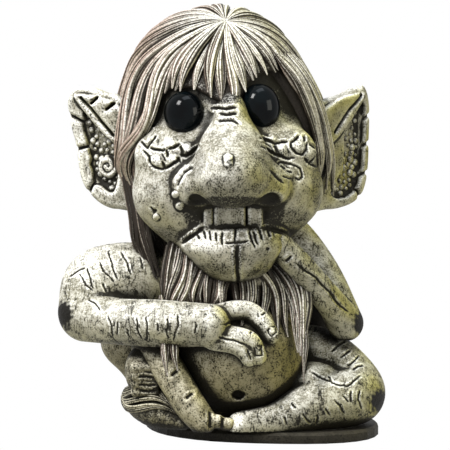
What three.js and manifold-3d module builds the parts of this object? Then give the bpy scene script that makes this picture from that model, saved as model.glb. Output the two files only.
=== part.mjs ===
// A seated folk troll: an ornament of cast resin, glued up from separate castings on a thin
// plinth, with two black glass eyes. Lengths are in millimetres. +Z is up, the face looks along
// -Y and +X is the troll's left. Every casting stands on the plane z = 0, the plinth lies just
// under it, and the whole group is then moved so that its origin is the bottom centre.
import * as THREE from "three";
import { mergeVertices } from "three/addons/utils/BufferGeometryUtils.js";
import Module from "manifold-3d";

const wasm = await Module();
wasm.setup();

// Glue line between two castings
const GLUE_GAP = 0.35;

// Plinth
const PLINTH_THICK = 5;
const PLINTH_WIDTH = 110;
const PLINTH_DEPTH = 100;
const PLINTH_BEVEL = 1.2;

// Trunk
const BELLY_RADIUS = 30;
const BELLY_HEIGHT = 32;
const NAVEL_DIAMETER = 6;
const HIP_WIDTH = 78;
const CHEST_WIDTH = 62;
const BACK_DEPTH = 27;
const NECK_RADIUS = 19;

// Head
const HEAD_HEIGHT = 136; // from the plinth to the middle of the skull
const SKULL_WIDTH = 88;
const SKULL_DEPTH = 86;
const SKULL_HEIGHT = 96;
const CROWN_WIDTH = 76; // the top of the skull is narrower than the face
const CROWN_RISE = 12; // above the middle of the skull
const JAW_WIDTH = 64;
const CHEEK_RADIUS = 20;
const NOSE_WIDTH = 36;
const NOSE_REACH = 33; // past the front of the skull
const NOSTRIL_DIAMETER = 11;
const WART_RADIUS = 3.2;
const MOUTH_WIDTH = 38;
const TOOTH_HEIGHT = 10.5;
const EYE_DIAMETER = 18;
const EYE_DOME = 8;
const EYE_GIRDLE = 4;
const EYE_SPACING = 36.8;
const EYE_RISE = 10.8; // above the middle of the skull
const EYE_HEIGHT = HEAD_HEIGHT + EYE_RISE;
const EYE_TURN = 13; // degrees outwards
const HEAD_TILT = 1.2; // how much each eye is raised or lowered

// Hair
const HAIR_THICK = 7;
const HAIR_RIBS = 26;
const HAIR_RIB_DEPTH = 2.6;
const HAIR_HEM = 92;
const LOCK_RADIUS = 6;

// Ears
const EAR_WIDTH = 34;
const EAR_HEIGHT = 60;
const EAR_THICK = 8;
const EAR_HOLLOW = 4.5;
const EAR_FOLD = 2.4;
const EAR_CRACK = 1.4;
const EAR_CURL_RADIUS = 4.6;
const EAR_CURL_ACROSS = 0.28; // in shares of the ear's width
const EAR_CURL_UP = -0.13; // in shares of its height
const EAR_PEG_DIAMETER = 8;
const EAR_PEG_LENGTH = 11;

// Arms
const UPPER_ARM_RADIUS = 14.8;
const FOREARM_RADIUS = 10.8;
const FINGER_RADIUS = 4.6;
const PROP_ARM_RADIUS = 8.6; // the arm that the chin leans on
const PIN_DIAMETER = 8;
const PIN_LENGTH = 26;

// Legs
const THIGH_RADIUS = 16;
const SHIN_RADIUS = 13;
const CROSSED_SHIN_RADIUS = 8; // the shin that crosses in front
const FOOT_RADIUS = 9.5;
const TOE_RADIUS = 2.7;
const TOE_SPACING = 3.9;

// Beard and tail
const BEARD_LOCK_RADIUS = 4.2;
const TAIL_RADIUS = 5.6;
const TUFT_RADIUS = 8.6;

const BEYOND = 300; // further than any casting reaches

const v = (x, y, z) => new THREE.Vector3(x, y, z);
const { lerp, degToRad, clamp } = THREE.MathUtils;
const sides = [-1, 1];

// Solids from geometry

function solid(geometry) {
  geometry.deleteAttribute("normal");
  geometry.deleteAttribute("uv");
  const merged = mergeVertices(geometry, 1e-3);
  return new wasm.Manifold(
    new wasm.Mesh({
      numProp: 3,
      vertProperties: merged.getAttribute("position").array,
      triVerts: new Uint32Array(merged.index.array),
    }),
  );
}

const join = (...solids) => solids.flat().reduce((all, one) => all.add(one));
const cut = (from, ...solids) => solids.flat().reduce((rest, one) => rest.subtract(one), from);

// A cut can leave crumbs behind, and the casting is the one large piece
const largest = (whole) =>
  whole.decompose().reduce((best, one) => (one.volume() > best.volume() ? one : best));

function block([x0, y0, z0], [x1, y1, z1]) {
  const box = new THREE.BoxGeometry(x1 - x0, y1 - y0, z1 - z0);
  return solid(box.translate((x0 + x1) / 2, (y0 + y1) / 2, (z0 + z1) / 2));
}

const oval = (at, radii) => ({ at, radii });
const round = (at, radius) => oval(at, [radius, radius, radius]);

function ball({ at, radii }, { grow = 0, sectors = 14 } = {}) {
  const sphere = new THREE.SphereGeometry(1, sectors, Math.round(sectors * 0.6));
  sphere.rotateX(Math.PI / 2).scale(...radii.map((radius) => radius + grow));
  return solid(sphere.translate(...at));
}

// A bar along a smooth path with rounded ends. Each station is [x, y, z, radius]. A flattened
// bar turns its thin side to the way that `outward` gives.
function barGeometry(stations, { grow = 0, edges = 10, steps = 3, flat = 1, outward } = {}) {
  const middles = stations.map(([x, y, z]) => v(x, y, z));
  const path = new THREE.CatmullRomCurve3(middles, false, "centripetal");
  const spans = stations.length - 1;
  const rows = Array.from({ length: spans * steps + 1 }, (_, i) => {
    const t = i / (spans * steps);
    const span = Math.min(Math.floor(t * spans), spans - 1);
    const radius = lerp(stations[span][3], stations[span + 1][3], t * spans - span);
    return { at: path.getPoint(t), along: path.getTangent(t), radius, share: 1 };
  });
  const endAngles = edges > 7 ? [30, 60] : [45];
  const roundEnd = (row, way) =>
    endAngles.map(degToRad).map((angle) => ({
      ...row,
      at: row.at.clone().addScaledVector(row.along, way * (row.radius + grow) * Math.sin(angle)),
      share: Math.cos(angle),
    }));
  const [first, last] = [rows[0], rows[rows.length - 1]];
  const rings = [...roundEnd(first, -1).reverse(), ...rows, ...roundEnd(last, 1)];

  const points = [];
  let across = Math.abs(first.along.z) < 0.9 ? v(0, 0, 1) : v(1, 0, 0);
  for (const ring of rings) {
    if (outward) across = ring.along.clone().cross(outward(ring.at));
    across = across.clone().addScaledVector(ring.along, -across.dot(ring.along)).normalize();
    const up = ring.along.clone().cross(across);
    for (let j = 0; j < edges; j++) {
      const angle = (2 * Math.PI * j) / edges;
      const wide = (ring.radius + grow) * ring.share * Math.cos(angle);
      const thin = (ring.radius * flat + grow) * ring.share * Math.sin(angle);
      points.push(ring.at.clone().addScaledVector(across, wide).addScaledVector(up, thin));
    }
  }
  const faces = [];
  for (let i = 0; i + 1 < rings.length; i++) {
    for (let j = 0; j < edges; j++) {
      const [a, b] = [i * edges + j, i * edges + ((j + 1) % edges)];
      faces.push(a, b, b + edges, a, b + edges, a + edges);
    }
  }
  const [start, end] = [points.length, points.length + 1];
  points.push(first.at.clone().addScaledVector(first.along, -first.radius - grow));
  points.push(last.at.clone().addScaledVector(last.along, last.radius + grow));
  const lastRing = (rings.length - 1) * edges;
  for (let j = 0; j < edges; j++) {
    const next = (j + 1) % edges;
    faces.push(start, next, j, end, lastRing + j, lastRing + next);
  }
  return new THREE.BufferGeometry().setFromPoints(points).setIndex(faces);
}

const bar = (stations, options) => solid(barGeometry(stations, options));

function pin(middle, way, length, diameter, grow = 0) {
  const rod = new THREE.CylinderGeometry(diameter / 2 + grow, diameter / 2 + grow, length + 2 * grow, 12);
  rod.applyQuaternion(new THREE.Quaternion().setFromUnitVectors(v(0, 1, 0), way.clone().normalize()));
  return solid(rod.translate(middle.x, middle.y, middle.z));
}

// Blended forms. Each is a distance, negative inside, of ovals that melt into each other.

function distance(p, { at, radii }) {
  const [x, y, z] = [p.x - at[0], p.y - at[1], p.z - at[2]];
  const near = Math.hypot(x / radii[0], y / radii[1], z / radii[2]);
  const slope = Math.hypot(x / radii[0] ** 2, y / radii[1] ** 2, z / radii[2] ** 2);
  return (near * (near - 1)) / Math.max(slope, 1e-6);
}

function melt(a, b, reach) {
  const h = Math.max(reach - Math.abs(a - b), 0) / reach;
  return Math.min(a, b) - (h * h * reach) / 4;
}

const melted = (p, ovals, reach) =>
  ovals.map((one) => distance(p, one)).reduce((all, one) => melt(all, one, reach));
const hollowed = (p, form, ovals, reach) =>
  ovals.reduce((all, one) => -melt(-all, distance(p, one), reach), form);

// How far from `from`, along `way`, the form's outermost surface lies
function reachOf(field, from, way, level = 0) {
  const at = (r) => field(from.clone().addScaledVector(way, r)) - level;
  let inner = 110;
  while (inner > 2 && at(inner) > 0) inner -= 2;
  let outer = inner + 2;
  for (let i = 0; i < 12; i++) {
    const middle = (inner + outer) / 2;
    if (at(middle) > 0) outer = middle;
    else inner = middle;
  }
  return inner;
}

// A sphere's grid drawn in onto the form. The rings crowd towards the pole, and `flute` moves a
// point in or out by its turn about the pole and its angle from it.
function shrinkWrap(field, { centre, pole, sectors, rings, crowd = 1, flute }, grow = 0) {
  const sphere = new THREE.SphereGeometry(1, sectors, rings);
  const turn = new THREE.Quaternion().setFromUnitVectors(v(0, 1, 0), pole.clone().normalize());
  const points = sphere.getAttribute("position");
  for (let i = 0; i < points.count; i++) {
    const way = v(0, 0, 0).fromBufferAttribute(points, i).normalize();
    const azimuth = Math.atan2(way.z, way.x);
    const fall = Math.PI * (Math.acos(clamp(way.y, -1, 1)) / Math.PI) ** crowd;
    const open = way.x ** 2 + way.z ** 2 > 1e-9 ? Math.sin(fall) : 0;
    way.set(open * Math.cos(azimuth), Math.cos(fall), open * Math.sin(azimuth));
    way.applyQuaternion(turn);
    const r = reachOf(field, centre, way, grow) + (flute ? flute(azimuth, fall) : 0);
    points.setXYZ(i, centre.x + way.x * r, centre.y + way.y * r, centre.z + way.z * r);
  }
  return solid(sphere);
}

// Trunk

const belly = oval([7, -24.5, BELLY_HEIGHT], [BELLY_RADIUS, BELLY_RADIUS, BELLY_RADIUS + 1]);
const trunkOvals = [
  oval([-5, 5, 19], [HIP_WIDTH / 2, 36, 26]),
  oval([-16, 5, 35], [HIP_WIDTH / 2 + 3, BACK_DEPTH - 2, 21.5]),
  oval([0, 13, 48], [35, BACK_DEPTH, 40]),
  oval([3, -2, 60], [CHEST_WIDTH / 2, 25, 24]),
  oval([2, 3, 84], [NECK_RADIUS, NECK_RADIUS, 15]),
];
const trunkField = (p) => melt(melted(p, trunkOvals, 9), distance(p, belly), 2.5);
const trunkForm = (grow) =>
  shrinkWrap(trunkField, { centre: v(1, 0, 40), pole: v(0, 0, 1), sectors: 24, rings: 14 }, grow);

// Where the front of the trunk lies at a place across and up
const trunkFront = (x, z) => 8 - reachOf(trunkField, v(x, 8, z), v(0, -1, 0));
const navelAt = [6.5, trunkFront(6.5, 16.5) - 0.6, 16.5];
const navel = oval(navelAt, [NAVEL_DIAMETER / 2, 4, NAVEL_DIAMETER / 2.6]);

// Head

const skullAt = [-1, 2, HEAD_HEIGHT];
const skull = oval([-1, 1, HEAD_HEIGHT - 8], [SKULL_WIDTH / 2, SKULL_DEPTH / 2 + 1, SKULL_HEIGHT / 2 - 6]);
const crownRadii = [CROWN_WIDTH / 2, CROWN_WIDTH / 2 - 2.5, SKULL_HEIGHT / 2 - 8];
const crown = oval([-4, 3, HEAD_HEIGHT + CROWN_RISE], crownRadii);
const browY = skullAt[1] - SKULL_DEPTH / 2;
const noseX = 3.5;
const faceOvals = [
  skull,
  crown,
  oval([-22, browY + 15, HEAD_HEIGHT - 27.5], [CHEEK_RADIUS + 0.5, 19.5, CHEEK_RADIUS]),
  oval([26, browY + 15, HEAD_HEIGHT - 26.5], [CHEEK_RADIUS, 19.5, CHEEK_RADIUS - 0.5]),
  oval([1.5, browY + 21, HEAD_HEIGHT - 38], [JAW_WIDTH / 2, 26, 25.5]),
  oval([-22.5, browY + 11, HEAD_HEIGHT - 9], [18, 10, 11]),
  oval([25, browY + 11, HEAD_HEIGHT - 7], [17, 10, 11]),
];
const noseTip = oval([noseX, browY - NOSE_REACH + 18, HEAD_HEIGHT - 17], [NOSE_WIDTH / 2, 18, 14.5]);
const noseWings = sides.map((side) =>
  oval([noseX + side * (NOSE_WIDTH / 2 - 2), noseTip.at[1] + 9, HEAD_HEIGHT - 23.5], [10, 12, 9.5]),
);
const noseOvals = [
  oval([noseX, browY + 3, HEAD_HEIGHT + 5], [8, 9, 15]),
  oval([noseX, lerp(browY, noseTip.at[1], 0.5), HEAD_HEIGHT - 7], [NOSE_WIDTH * 0.4, 13, 15]),
  noseTip,
  ...noseWings,
];
const upperLip = oval([4.5, browY + 7, HEAD_HEIGHT - 34], [21, 12, 12]);
const lowerLip = oval([4.5, browY + 5.5, HEAD_HEIGHT - 51], [24, 18.5, 11.5]);
const chin = oval([5, browY + 7, HEAD_HEIGHT - 58], [17, 18, 11]);
const eyeSockets = sides.map((side) =>
  oval([-0.9 + side * (EYE_SPACING / 2 + 1), browY - 5, EYE_HEIGHT + 3], [14, 10, 11]),
);

function headField(p) {
  const face = hollowed(p, melted(p, faceOvals, 9), eyeSockets, 5);
  const lips = melt(melt(face, distance(p, upperLip), 5), melted(p, [lowerLip, chin], 6), 5);
  return melt(lips, melted(p, noseOvals, 4), 4);
}
const headGrid = { centre: v(1, -6, 116), pole: v(0, -1, -0.05), sectors: 30, rings: 24, crowd: 1.25 };
const headForm = (grow) => shrinkWrap(headField, headGrid, grow);

// A place on the face, found by looking back along +Y, and how proud of it to stand
const onFace = (x, z, proud) => [x, -reachOf(headField, v(x, 0, z), v(0, -1, 0)) - proud, z];

const mouth = oval([4.8, browY - 10, HEAD_HEIGHT - 36.5], [MOUTH_WIDTH / 2, 12, 6.5]);
const nostrils = noseWings.map(({ at }, i) =>
  oval([at[0] - sides[i] * 3, at[1] - 3, at[2] - 7.5], [NOSTRIL_DIAMETER / 2 + 1, 7, NOSTRIL_DIAMETER / 2]),
);

// One tooth, tapered towards its biting edge. `way` is -1 for a tooth that hangs from above.
function tooth(x, gumZ, width, height, way) {
  const [half, corner] = [width / 2, Math.min(1.2, width / 4)];
  const face = new THREE.Shape();
  face.moveTo(-half, -way * 3).lineTo(half, -way * 3).lineTo(half, way * (height - corner));
  face.lineTo(half - corner, way * height).lineTo(corner - half, way * height);
  face.lineTo(-half, way * (height - corner));
  const slab = new THREE.ExtrudeGeometry(face, { depth: 9, bevelEnabled: false });
  return solid(slab.rotateX(Math.PI / 2).translate(x, mouth.at[1] + 13.5 - way, gumZ));
}

function teeth() {
  const [roof, floor] = sides.map((side) => mouth.at[2] - side * 5.5);
  const across = MOUTH_WIDTH / 35;
  const upper = [[-7, 4.4], [2.6, 14], [14.4, 8]].map(([x, width]) =>
    tooth(x * across, roof, width * across, TOOTH_HEIGHT, -1),
  );
  const lower = [[-3.4, 3.4], [2.3, 4.6], [8.7, 4.6], [14.2, 3]].map(([x, width], i) =>
    tooth(x * across, floor, width * across, 2 + 0.6 * (i % 2), 1),
  );
  return [...upper, ...lower];
}

const warts = [
  [noseX - 1, HEAD_HEIGHT - 8, WART_RADIUS],
  [-22.5, HEAD_HEIGHT - 21, WART_RADIUS * 0.55],
  [-20.3, HEAD_HEIGHT - 26.5, WART_RADIUS * 0.65],
  [-31.5, HEAD_HEIGHT - 31, WART_RADIUS * 0.55],
].map(([x, z, radius]) => round(onFace(x, z, -radius * 0.3), radius));

// Glass eyes, a dome on a short girdle, each set into a pocket of the head

const eyes = sides.map((side) => {
  const [x, z] = [-0.9 + (side * EYE_SPACING) / 2, EYE_HEIGHT + side * HEAD_TILT];
  return { at: onFace(x, z, 0.4), turn: side * degToRad(EYE_TURN) };
});

function eyeForm({ at, turn }, grow = 0) {
  const radius = EYE_DIAMETER / 2 + grow;
  const dome = [0, 20, 42, 66].map(degToRad).map(
    (angle) => new THREE.Vector2(radius * Math.cos(angle), (EYE_DOME + grow) * Math.sin(angle)),
  );
  const back = -EYE_GIRDLE - grow;
  const profile = [
    new THREE.Vector2(0, back),
    new THREE.Vector2(radius, back),
    ...dome,
    new THREE.Vector2(0, EYE_DOME + grow),
  ];
  return solid(new THREE.LatheGeometry(profile, 14).rotateX(Math.PI).rotateZ(turn).translate(...at));
}

// Ears: a leaf drawn in its own plane in shares of its width and height, with a hollow, a fold
// over its upper edge, a curl inside and cracks across its rim

const earShapes = [
  {
    outline: [
      [-0.26, 0.3], [0.07, 0.42], [0.3, 0.445], [0.55, 0.49], [0.77, 0.467], [0.87, 0.4], [0.86, 0.29],
      [0.81, 0.15], [0.74, 0.02], [0.71, -0.12], [0.66, -0.24], [0.57, -0.33], [0.36, -0.43],
      [0.1, -0.465], [-0.26, -0.4],
    ],
    hollow: [
      [0.6, 0.3], [0.57, 0.16], [0.52, 0.03], [0.48, -0.08], [0.45, -0.2], [0.36, -0.28],
      [0.16, -0.33], [0.08, -0.18], [0.12, -0.02], [0.2, 0.1], [0.42, 0.24],
    ],
    cracks: [[0.74, 0.22, 0.2], [0.64, -0.01, 0.1], [0.5, -0.29, 0.8]],
  },
  {
    outline: [
      [-0.26, 0.3], [0.07, 0.39], [0.35, 0.42], [0.6, 0.46], [0.8, 0.5], [0.9, 0.42], [0.94, 0.28],
      [0.93, 0.05], [0.91, -0.12], [0.86, -0.27], [0.74, -0.38], [0.5, -0.45], [0.1, -0.47],
      [-0.26, -0.4],
    ],
    hollow: [
      [0.76, 0.36], [0.77, 0.2], [0.76, 0], [0.73, -0.2], [0.6, -0.33], [0.3, -0.39],
      [0.12, -0.34], [0.26, -0.22], [0.36, -0.08], [0.38, 0.1], [0.5, 0.24],
    ],
    cracks: [[0.86, 0.24, 0.1], [0.86, 0, 0], [0.82, -0.24, -0.2]],
  },
];
const earFoldOutline = [[-0.1, 0.29], [0.08, 0.36], [0.3, 0.4], [0.62, 0.42], [0.23, 0.1], [-0.1, 0.04]];

const ears = sides.map((side, i) => ({
  side,
  shape: earShapes[i],
  sweep: side * degToRad([25, 42][i]),
  root: v(skullAt[0] + side * (SKULL_WIDTH / 2 - 1), skullAt[1] - 2, HEAD_HEIGHT - 10),
}));

function leaf(outline, side, depth, bevel, divisions) {
  const points = outline.map(([u, w]) => new THREE.Vector2(side * u * EAR_WIDTH, w * EAR_HEIGHT));
  const edge = divisions ? new THREE.SplineCurve([...points, points[0]]).getPoints(divisions) : points;
  return new THREE.ExtrudeGeometry(new THREE.Shape(divisions ? edge.slice(0, -1) : edge), {
    depth: depth - 2 * bevel,
    bevelEnabled: bevel > 0,
    bevelThickness: bevel,
    bevelSize: bevel,
    bevelOffset: -bevel,
    bevelSegments: 1,
  }).translate(0, 0, bevel);
}

// Stands a shape up that is drawn in the ear's plane, its depth forwards, and sets it on the head
const ontoHead = (geometry, { sweep, root }) =>
  solid(geometry.rotateX(Math.PI / 2).rotateZ(sweep).translate(root.x, root.y, root.z));

function earPeg(ear, grow = 0) {
  const radius = EAR_PEG_DIAMETER / 2 + grow;
  const peg = new THREE.CylinderGeometry(radius, radius, EAR_PEG_LENGTH + EAR_THICK + grow, 8);
  const middle = ear.side * ((EAR_THICK - EAR_PEG_LENGTH - grow) / 2);
  peg.rotateZ(Math.PI / 2).translate(middle, 0, EAR_THICK / 2);
  return ontoHead(peg, ear);
}

function earForm(ear, grow = 0) {
  const { side, shape } = ear;
  const place = (geometry) => ontoHead(geometry, ear);
  const slab = leaf(shape.outline, side, EAR_THICK, grow ? 0 : 1.6, 20);
  if (grow) {
    slab.translate(0, 0, -EAR_THICK / 2).scale(1 + (2 * grow) / EAR_WIDTH, 1 + (2 * grow) / EAR_HEIGHT, 1);
    slab.scale(1, 1, 1 + (2 * (grow + EAR_FOLD)) / EAR_THICK).translate(0, 0, EAR_THICK / 2);
    return place(slab);
  }
  const hollow = leaf(shape.hollow, side, 10, 0, 12).translate(0, 0, EAR_THICK - EAR_HOLLOW);
  const fold = leaf(earFoldOutline, side, EAR_FOLD + 2, 1, 0).translate(0, 0, EAR_THICK - 2);
  const curl = Array.from({ length: 8 }, (_, i) => {
    const angle = degToRad(200 + 65 * i);
    const radius = lerp(EAR_CURL_RADIUS, EAR_CURL_RADIUS * 0.3, i / 7);
    const x = side * (EAR_CURL_ACROSS * EAR_WIDTH + radius * Math.cos(angle));
    const z = EAR_CURL_UP * EAR_HEIGHT + radius * Math.sin(angle);
    return [x, z, EAR_THICK - EAR_HOLLOW + 0.8, 1.3];
  });
  const cracks = shape.cracks.map(([u, w, tilt]) => {
    const notch = new THREE.BoxGeometry(12, EAR_CRACK, 5).rotateZ(side * tilt);
    return place(notch.translate(side * u * EAR_WIDTH, w * EAR_HEIGHT, EAR_THICK));
  });
  const ridge = place(barGeometry(curl, { edges: 4, steps: 1 }));
  return join(cut(place(slab), place(hollow), cracks), place(fold), ridge);
}

// Arms

// A limb lies on the trunk three quarters of its radius out, and is sunk in by the rest
const onBelly = ([x, z, radius]) => [x, trunkFront(x, z) - radius * 0.75, z, radius];
const shoulderRight = v(13 - HIP_WIDTH / 2, -5, 67.5);
const shoulderLeft = v(CHEST_WIDTH / 2 - 5, 6, 88);
const outFrom = (shoulder, x, y, z) => shoulder.clone().add(v(x, y, z)).toArray();

const armRightStations = [
  [...outFrom(shoulderRight, 0, 0, 0), UPPER_ARM_RADIUS],
  [...outFrom(shoulderRight, -25, -4, 0), UPPER_ARM_RADIUS],
  [...outFrom(shoulderRight, -35, -8, -3.5), UPPER_ARM_RADIUS - 0.5],
  [...outFrom(shoulderRight, -38.5, -15, -15.5), UPPER_ARM_RADIUS - 2],
];
const upperArmFlesh = oval(outFrom(shoulderRight, -17, -9, -7.5), [23, 13.5, 17]);
const forearmRightStations = [
  [...outFrom(shoulderRight, -38, -17, -17), FOREARM_RADIUS + 1.6],
  [...outFrom(shoulderRight, -24, -28, -18.5), FOREARM_RADIUS],
  [...outFrom(shoulderRight, -4, -41, -18), FOREARM_RADIUS + 0.2],
  onBelly([-7, 49.5, FOREARM_RADIUS - 1]),
];
const fingers = [
  [[-5, 53, 1.1], [5, 55.5, 1.05], [12, 55, 1], [18, 50, 0.95], [21.5, 44.5, 0.88]],
  [[-5, 45.5, 1], [6, 44.5, 1], [12.5, 42, 0.95], [15.8, 35.5, 0.85]],
  [[-5, 42, 0.9], [5, 40.5, 0.88], [10, 37, 0.85], [11.5, 34.5, 0.8]],
];

function armRightForm(grow) {
  const digits = fingers.map((joints) => {
    const stations = joints.map(([x, z, share]) => onBelly([x, z, share * FINGER_RADIUS]));
    return bar(stations, { grow, edges: 5, steps: 1 });
  });
  const halves = [armRightStations, forearmRightStations];
  const flesh = ball(upperArmFlesh, { grow, sectors: 8 });
  return join(halves.map((stations) => bar(stations, { grow, edges: 10, steps: 2 })), flesh, digits);
}

const armLeftStations = [
  [...outFrom(shoulderLeft, 0, 0, 0), PROP_ARM_RADIUS + 2.4],
  [...outFrom(shoulderLeft, 10.5, -4, -8), PROP_ARM_RADIUS + 0.6],
  [...outFrom(shoulderLeft, 21, -12, -22.5), PROP_ARM_RADIUS + 0.2],
  [...outFrom(shoulderLeft, 30.5, -21, -42), PROP_ARM_RADIUS],
];
const forearmLeftStations = [
  [...outFrom(shoulderLeft, 30, -24, -40), PROP_ARM_RADIUS - 1],
  [...outFrom(shoulderLeft, 20.5, -34, -27), PROP_ARM_RADIUS - 1.8],
  [...outFrom(shoulderLeft, 9, -41, -13), PROP_ARM_RADIUS - 2.2],
  [25, -36, HEAD_HEIGHT - 51, PROP_ARM_RADIUS - 2],
];

function armLeftForm(grow) {
  const halves = [armLeftStations, forearmLeftStations];
  return join(halves.map((stations) => bar(stations, { grow, edges: 10, steps: 2 })));
}

// Legs, crossed at the ankles

function legLeftForm(grow) {
  const leg = [
    [24, 6, 27, THIGH_RADIUS + 2],
    [46, -6, 27, THIGH_RADIUS - 1],
    [61, -20, 15, THIGH_RADIUS - 2],
    [55, -32, 12, SHIN_RADIUS],
    [38, -40, 8.5, SHIN_RADIUS - 1.4],
    [24, -46, 4, SHIN_RADIUS - 4.5],
    [8, -50, 2, SHIN_RADIUS - 6],
  ];
  const calf = oval([41, -25, 18], [THIGH_RADIUS, THIGH_RADIUS - 1, THIGH_RADIUS - 5]);
  return join(bar(leg, { grow, edges: 10, steps: 2 }), ball(calf, { grow, sectors: 8 }));
}

function legRightForm(grow) {
  const knee = [-34, -30, 40, CROSSED_SHIN_RADIUS + 1];
  const thigh = [[-14, 2, 22, THIGH_RADIUS], [-30, -20, 33, THIGH_RADIUS - 4], knee];
  const shin = [
    knee,
    [-28.5, -39, 32, CROSSED_SHIN_RADIUS],
    [-22, -46, 22, CROSSED_SHIN_RADIUS - 0.4],
    [-15.5, -51, 12, CROSSED_SHIN_RADIUS - 0.6],
    [-10, -53, 5, CROSSED_SHIN_RADIUS - 1.5],
  ];
  const toes = [[-3, 5.2], [2.2, 3.8], [7, 3]].map(([x, z], i) => {
    const tip = [x, -55 + i, z, TOE_RADIUS + 0.5 - 0.3 * i];
    return bar([[x - 5, -51, z, TOE_RADIUS], tip], { grow, edges: 5, steps: 1 });
  });
  return join([thigh, shin].map((stations) => bar(stations, { grow, edges: 10, steps: 2 })), toes);
}

// The left foot comes out past the crossed shin, its toes one above another
function footLeftForm(grow) {
  const middle = [-37.5, -33, 26];
  const sole = oval(middle, [FOOT_RADIUS - 1, FOOT_RADIUS + 1, FOOT_RADIUS + 2.5]);
  const foot = ball(sole, { grow, sectors: 10 });
  const toes = Array.from({ length: 4 }, (_, i) => {
    const z = middle[2] + 2.5 - TOE_SPACING * i;
    const reach = middle[1] - FOOT_RADIUS + 0.4 * i;
    const root = [middle[0] - 3, reach + 2, z, TOE_RADIUS];
    const tip = [middle[0] + 6, reach, z, TOE_RADIUS * 0.9];
    return bar([root, tip], { grow, edges: 5, steps: 1 });
  });
  return join(foot, toes);
}

// Hair: a cap ribbed from the parting down, open over the face, with a long lock on each side

const parting = v(0.03, -0.32, 0.94);
const hairOvals = [
  ...[skull, crown].map(({ at, radii }) => oval(at, radii.map((radius) => radius + HAIR_THICK))),
  oval([-1, 15, HEAD_HEIGHT - 20], [SKULL_WIDTH / 2 - 2, SKULL_DEPTH / 2 - 5, SKULL_HEIGHT / 2 - 8]),
];
const ribGroove = (azimuth, fall) =>
  -HAIR_RIB_DEPTH * Math.sin((HAIR_RIBS * azimuth) / 2) ** 2 * Math.sqrt(Math.sin(fall));
const hairGrid = {
  centre: v(-1, 4, HEAD_HEIGHT - 4),
  pole: parting,
  sectors: 2 * HAIR_RIBS,
  rings: 11,
  flute: ribGroove,
};

// The edge of the hair round the face, in shares of the skull's half width and half height from
// the line of the eyes
const faceOpening = [
  [-0.8, -2], [-0.82, -0.33], [-0.77, -0.04], [-0.57, 0.19], [-0.3, 0.22], [-0.16, 0.16],
  [0.02, 0.08], [0.14, 0.08], [0.27, 0.26], [0.45, 0.36], [0.62, 0.34], [0.79, 0.23],
  [0.92, -0.03], [1.0, -0.3], [1.02, -2],
];

function faceWindow() {
  const edge = faceOpening.map(
    ([u, w]) =>
      new THREE.Vector2(skullAt[0] + (u * SKULL_WIDTH) / 2, EYE_HEIGHT + (w * SKULL_HEIGHT) / 2),
  );
  const prism = new THREE.ExtrudeGeometry(new THREE.Shape(edge), {
    depth: BEYOND,
    bevelEnabled: false,
  });
  return solid(prism.rotateX(Math.PI / 2).translate(0, browY + 21, 0));
}

function hairForm(grow) {
  const cap = shrinkWrap((p) => melted(p, hairOvals, 8), hairGrid, grow);
  const trimmed = cut(cap, faceWindow(), block([-BEYOND, -BEYOND, -BEYOND], [BEYOND, BEYOND, HAIR_HEM]));
  const out = (at) => v(Math.sign(at.x) * 0.7, -1, 0);
  const half = SKULL_WIDTH / 2;
  const lockRight = [
    [-half - 1, -13, HEAD_HEIGHT - 2, LOCK_RADIUS],
    [-half + 0.5, -17, HEAD_HEIGHT - 30, LOCK_RADIUS * 1.2],
    [-half + 4.5, -20, HEAD_HEIGHT - 46, LOCK_RADIUS],
    [-half + 10, -23, HEAD_HEIGHT - 60, LOCK_RADIUS * 0.85],
    [-half + 13.5, -26, HEAD_HEIGHT - 69, LOCK_RADIUS * 0.4],
  ];
  const lockRightBehind = [
    [-half - 1, -4, HEAD_HEIGHT - 24, LOCK_RADIUS],
    [-half + 3, -6, HEAD_HEIGHT - 40, LOCK_RADIUS * 1.1],
    [-half + 8, -12, HEAD_HEIGHT - 56, LOCK_RADIUS * 0.5],
  ];
  const lockLeft = [
    [half - 1, -14, HEAD_HEIGHT + 12, LOCK_RADIUS * 0.8],
    [half + 2.5, -14, HEAD_HEIGHT - 4, LOCK_RADIUS * 1.1],
    [half + 3, -13, HEAD_HEIGHT - 18, LOCK_RADIUS],
    [half + 1, -12, HEAD_HEIGHT - 32, LOCK_RADIUS * 0.45],
  ];
  const locks = [lockRight, lockRightBehind, lockLeft].map((stations) =>
    bar(stations, { grow, edges: 7, steps: 2, flat: 0.5, outward: out }),
  );
  return join(trimmed, locks);
}

// Beard: a thick root under the chin, and locks that fall from it over the chest and the belly.
// Each lock is where it starts, bends and ends: across, across and up, across and up.

const beardRoot = oval([2, -25, 70], [26, 14, 11]);
const beardLocks = [
  [-24, -27, 70, -29, 59], [-17, -21, 68, -20, 55], [-10, -13, 67, -12, 57], [-3, -5, 66, -6, 55],
  [5, 5, 65, 5, 56], [12, 14, 63, 15, 49], [17, 22, 62, 25, 42], [20, 31, 61, 31.5, 38],
  [24, 39, 62, 40.5, 44], [23, 36, 58, 37, 26],
];

// A lock lies on the trunk, and hangs forward of it under the chin. Past the chin's side it
// swings back towards the arm.
function hang(x, z) {
  const forward = -32 - (HEAD_HEIGHT - 56 - z) * 0.5 + (x > 15 ? 8 : 0);
  return Math.min(trunkFront(x, z) - BEARD_LOCK_RADIUS * 0.3, forward);
}

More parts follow.
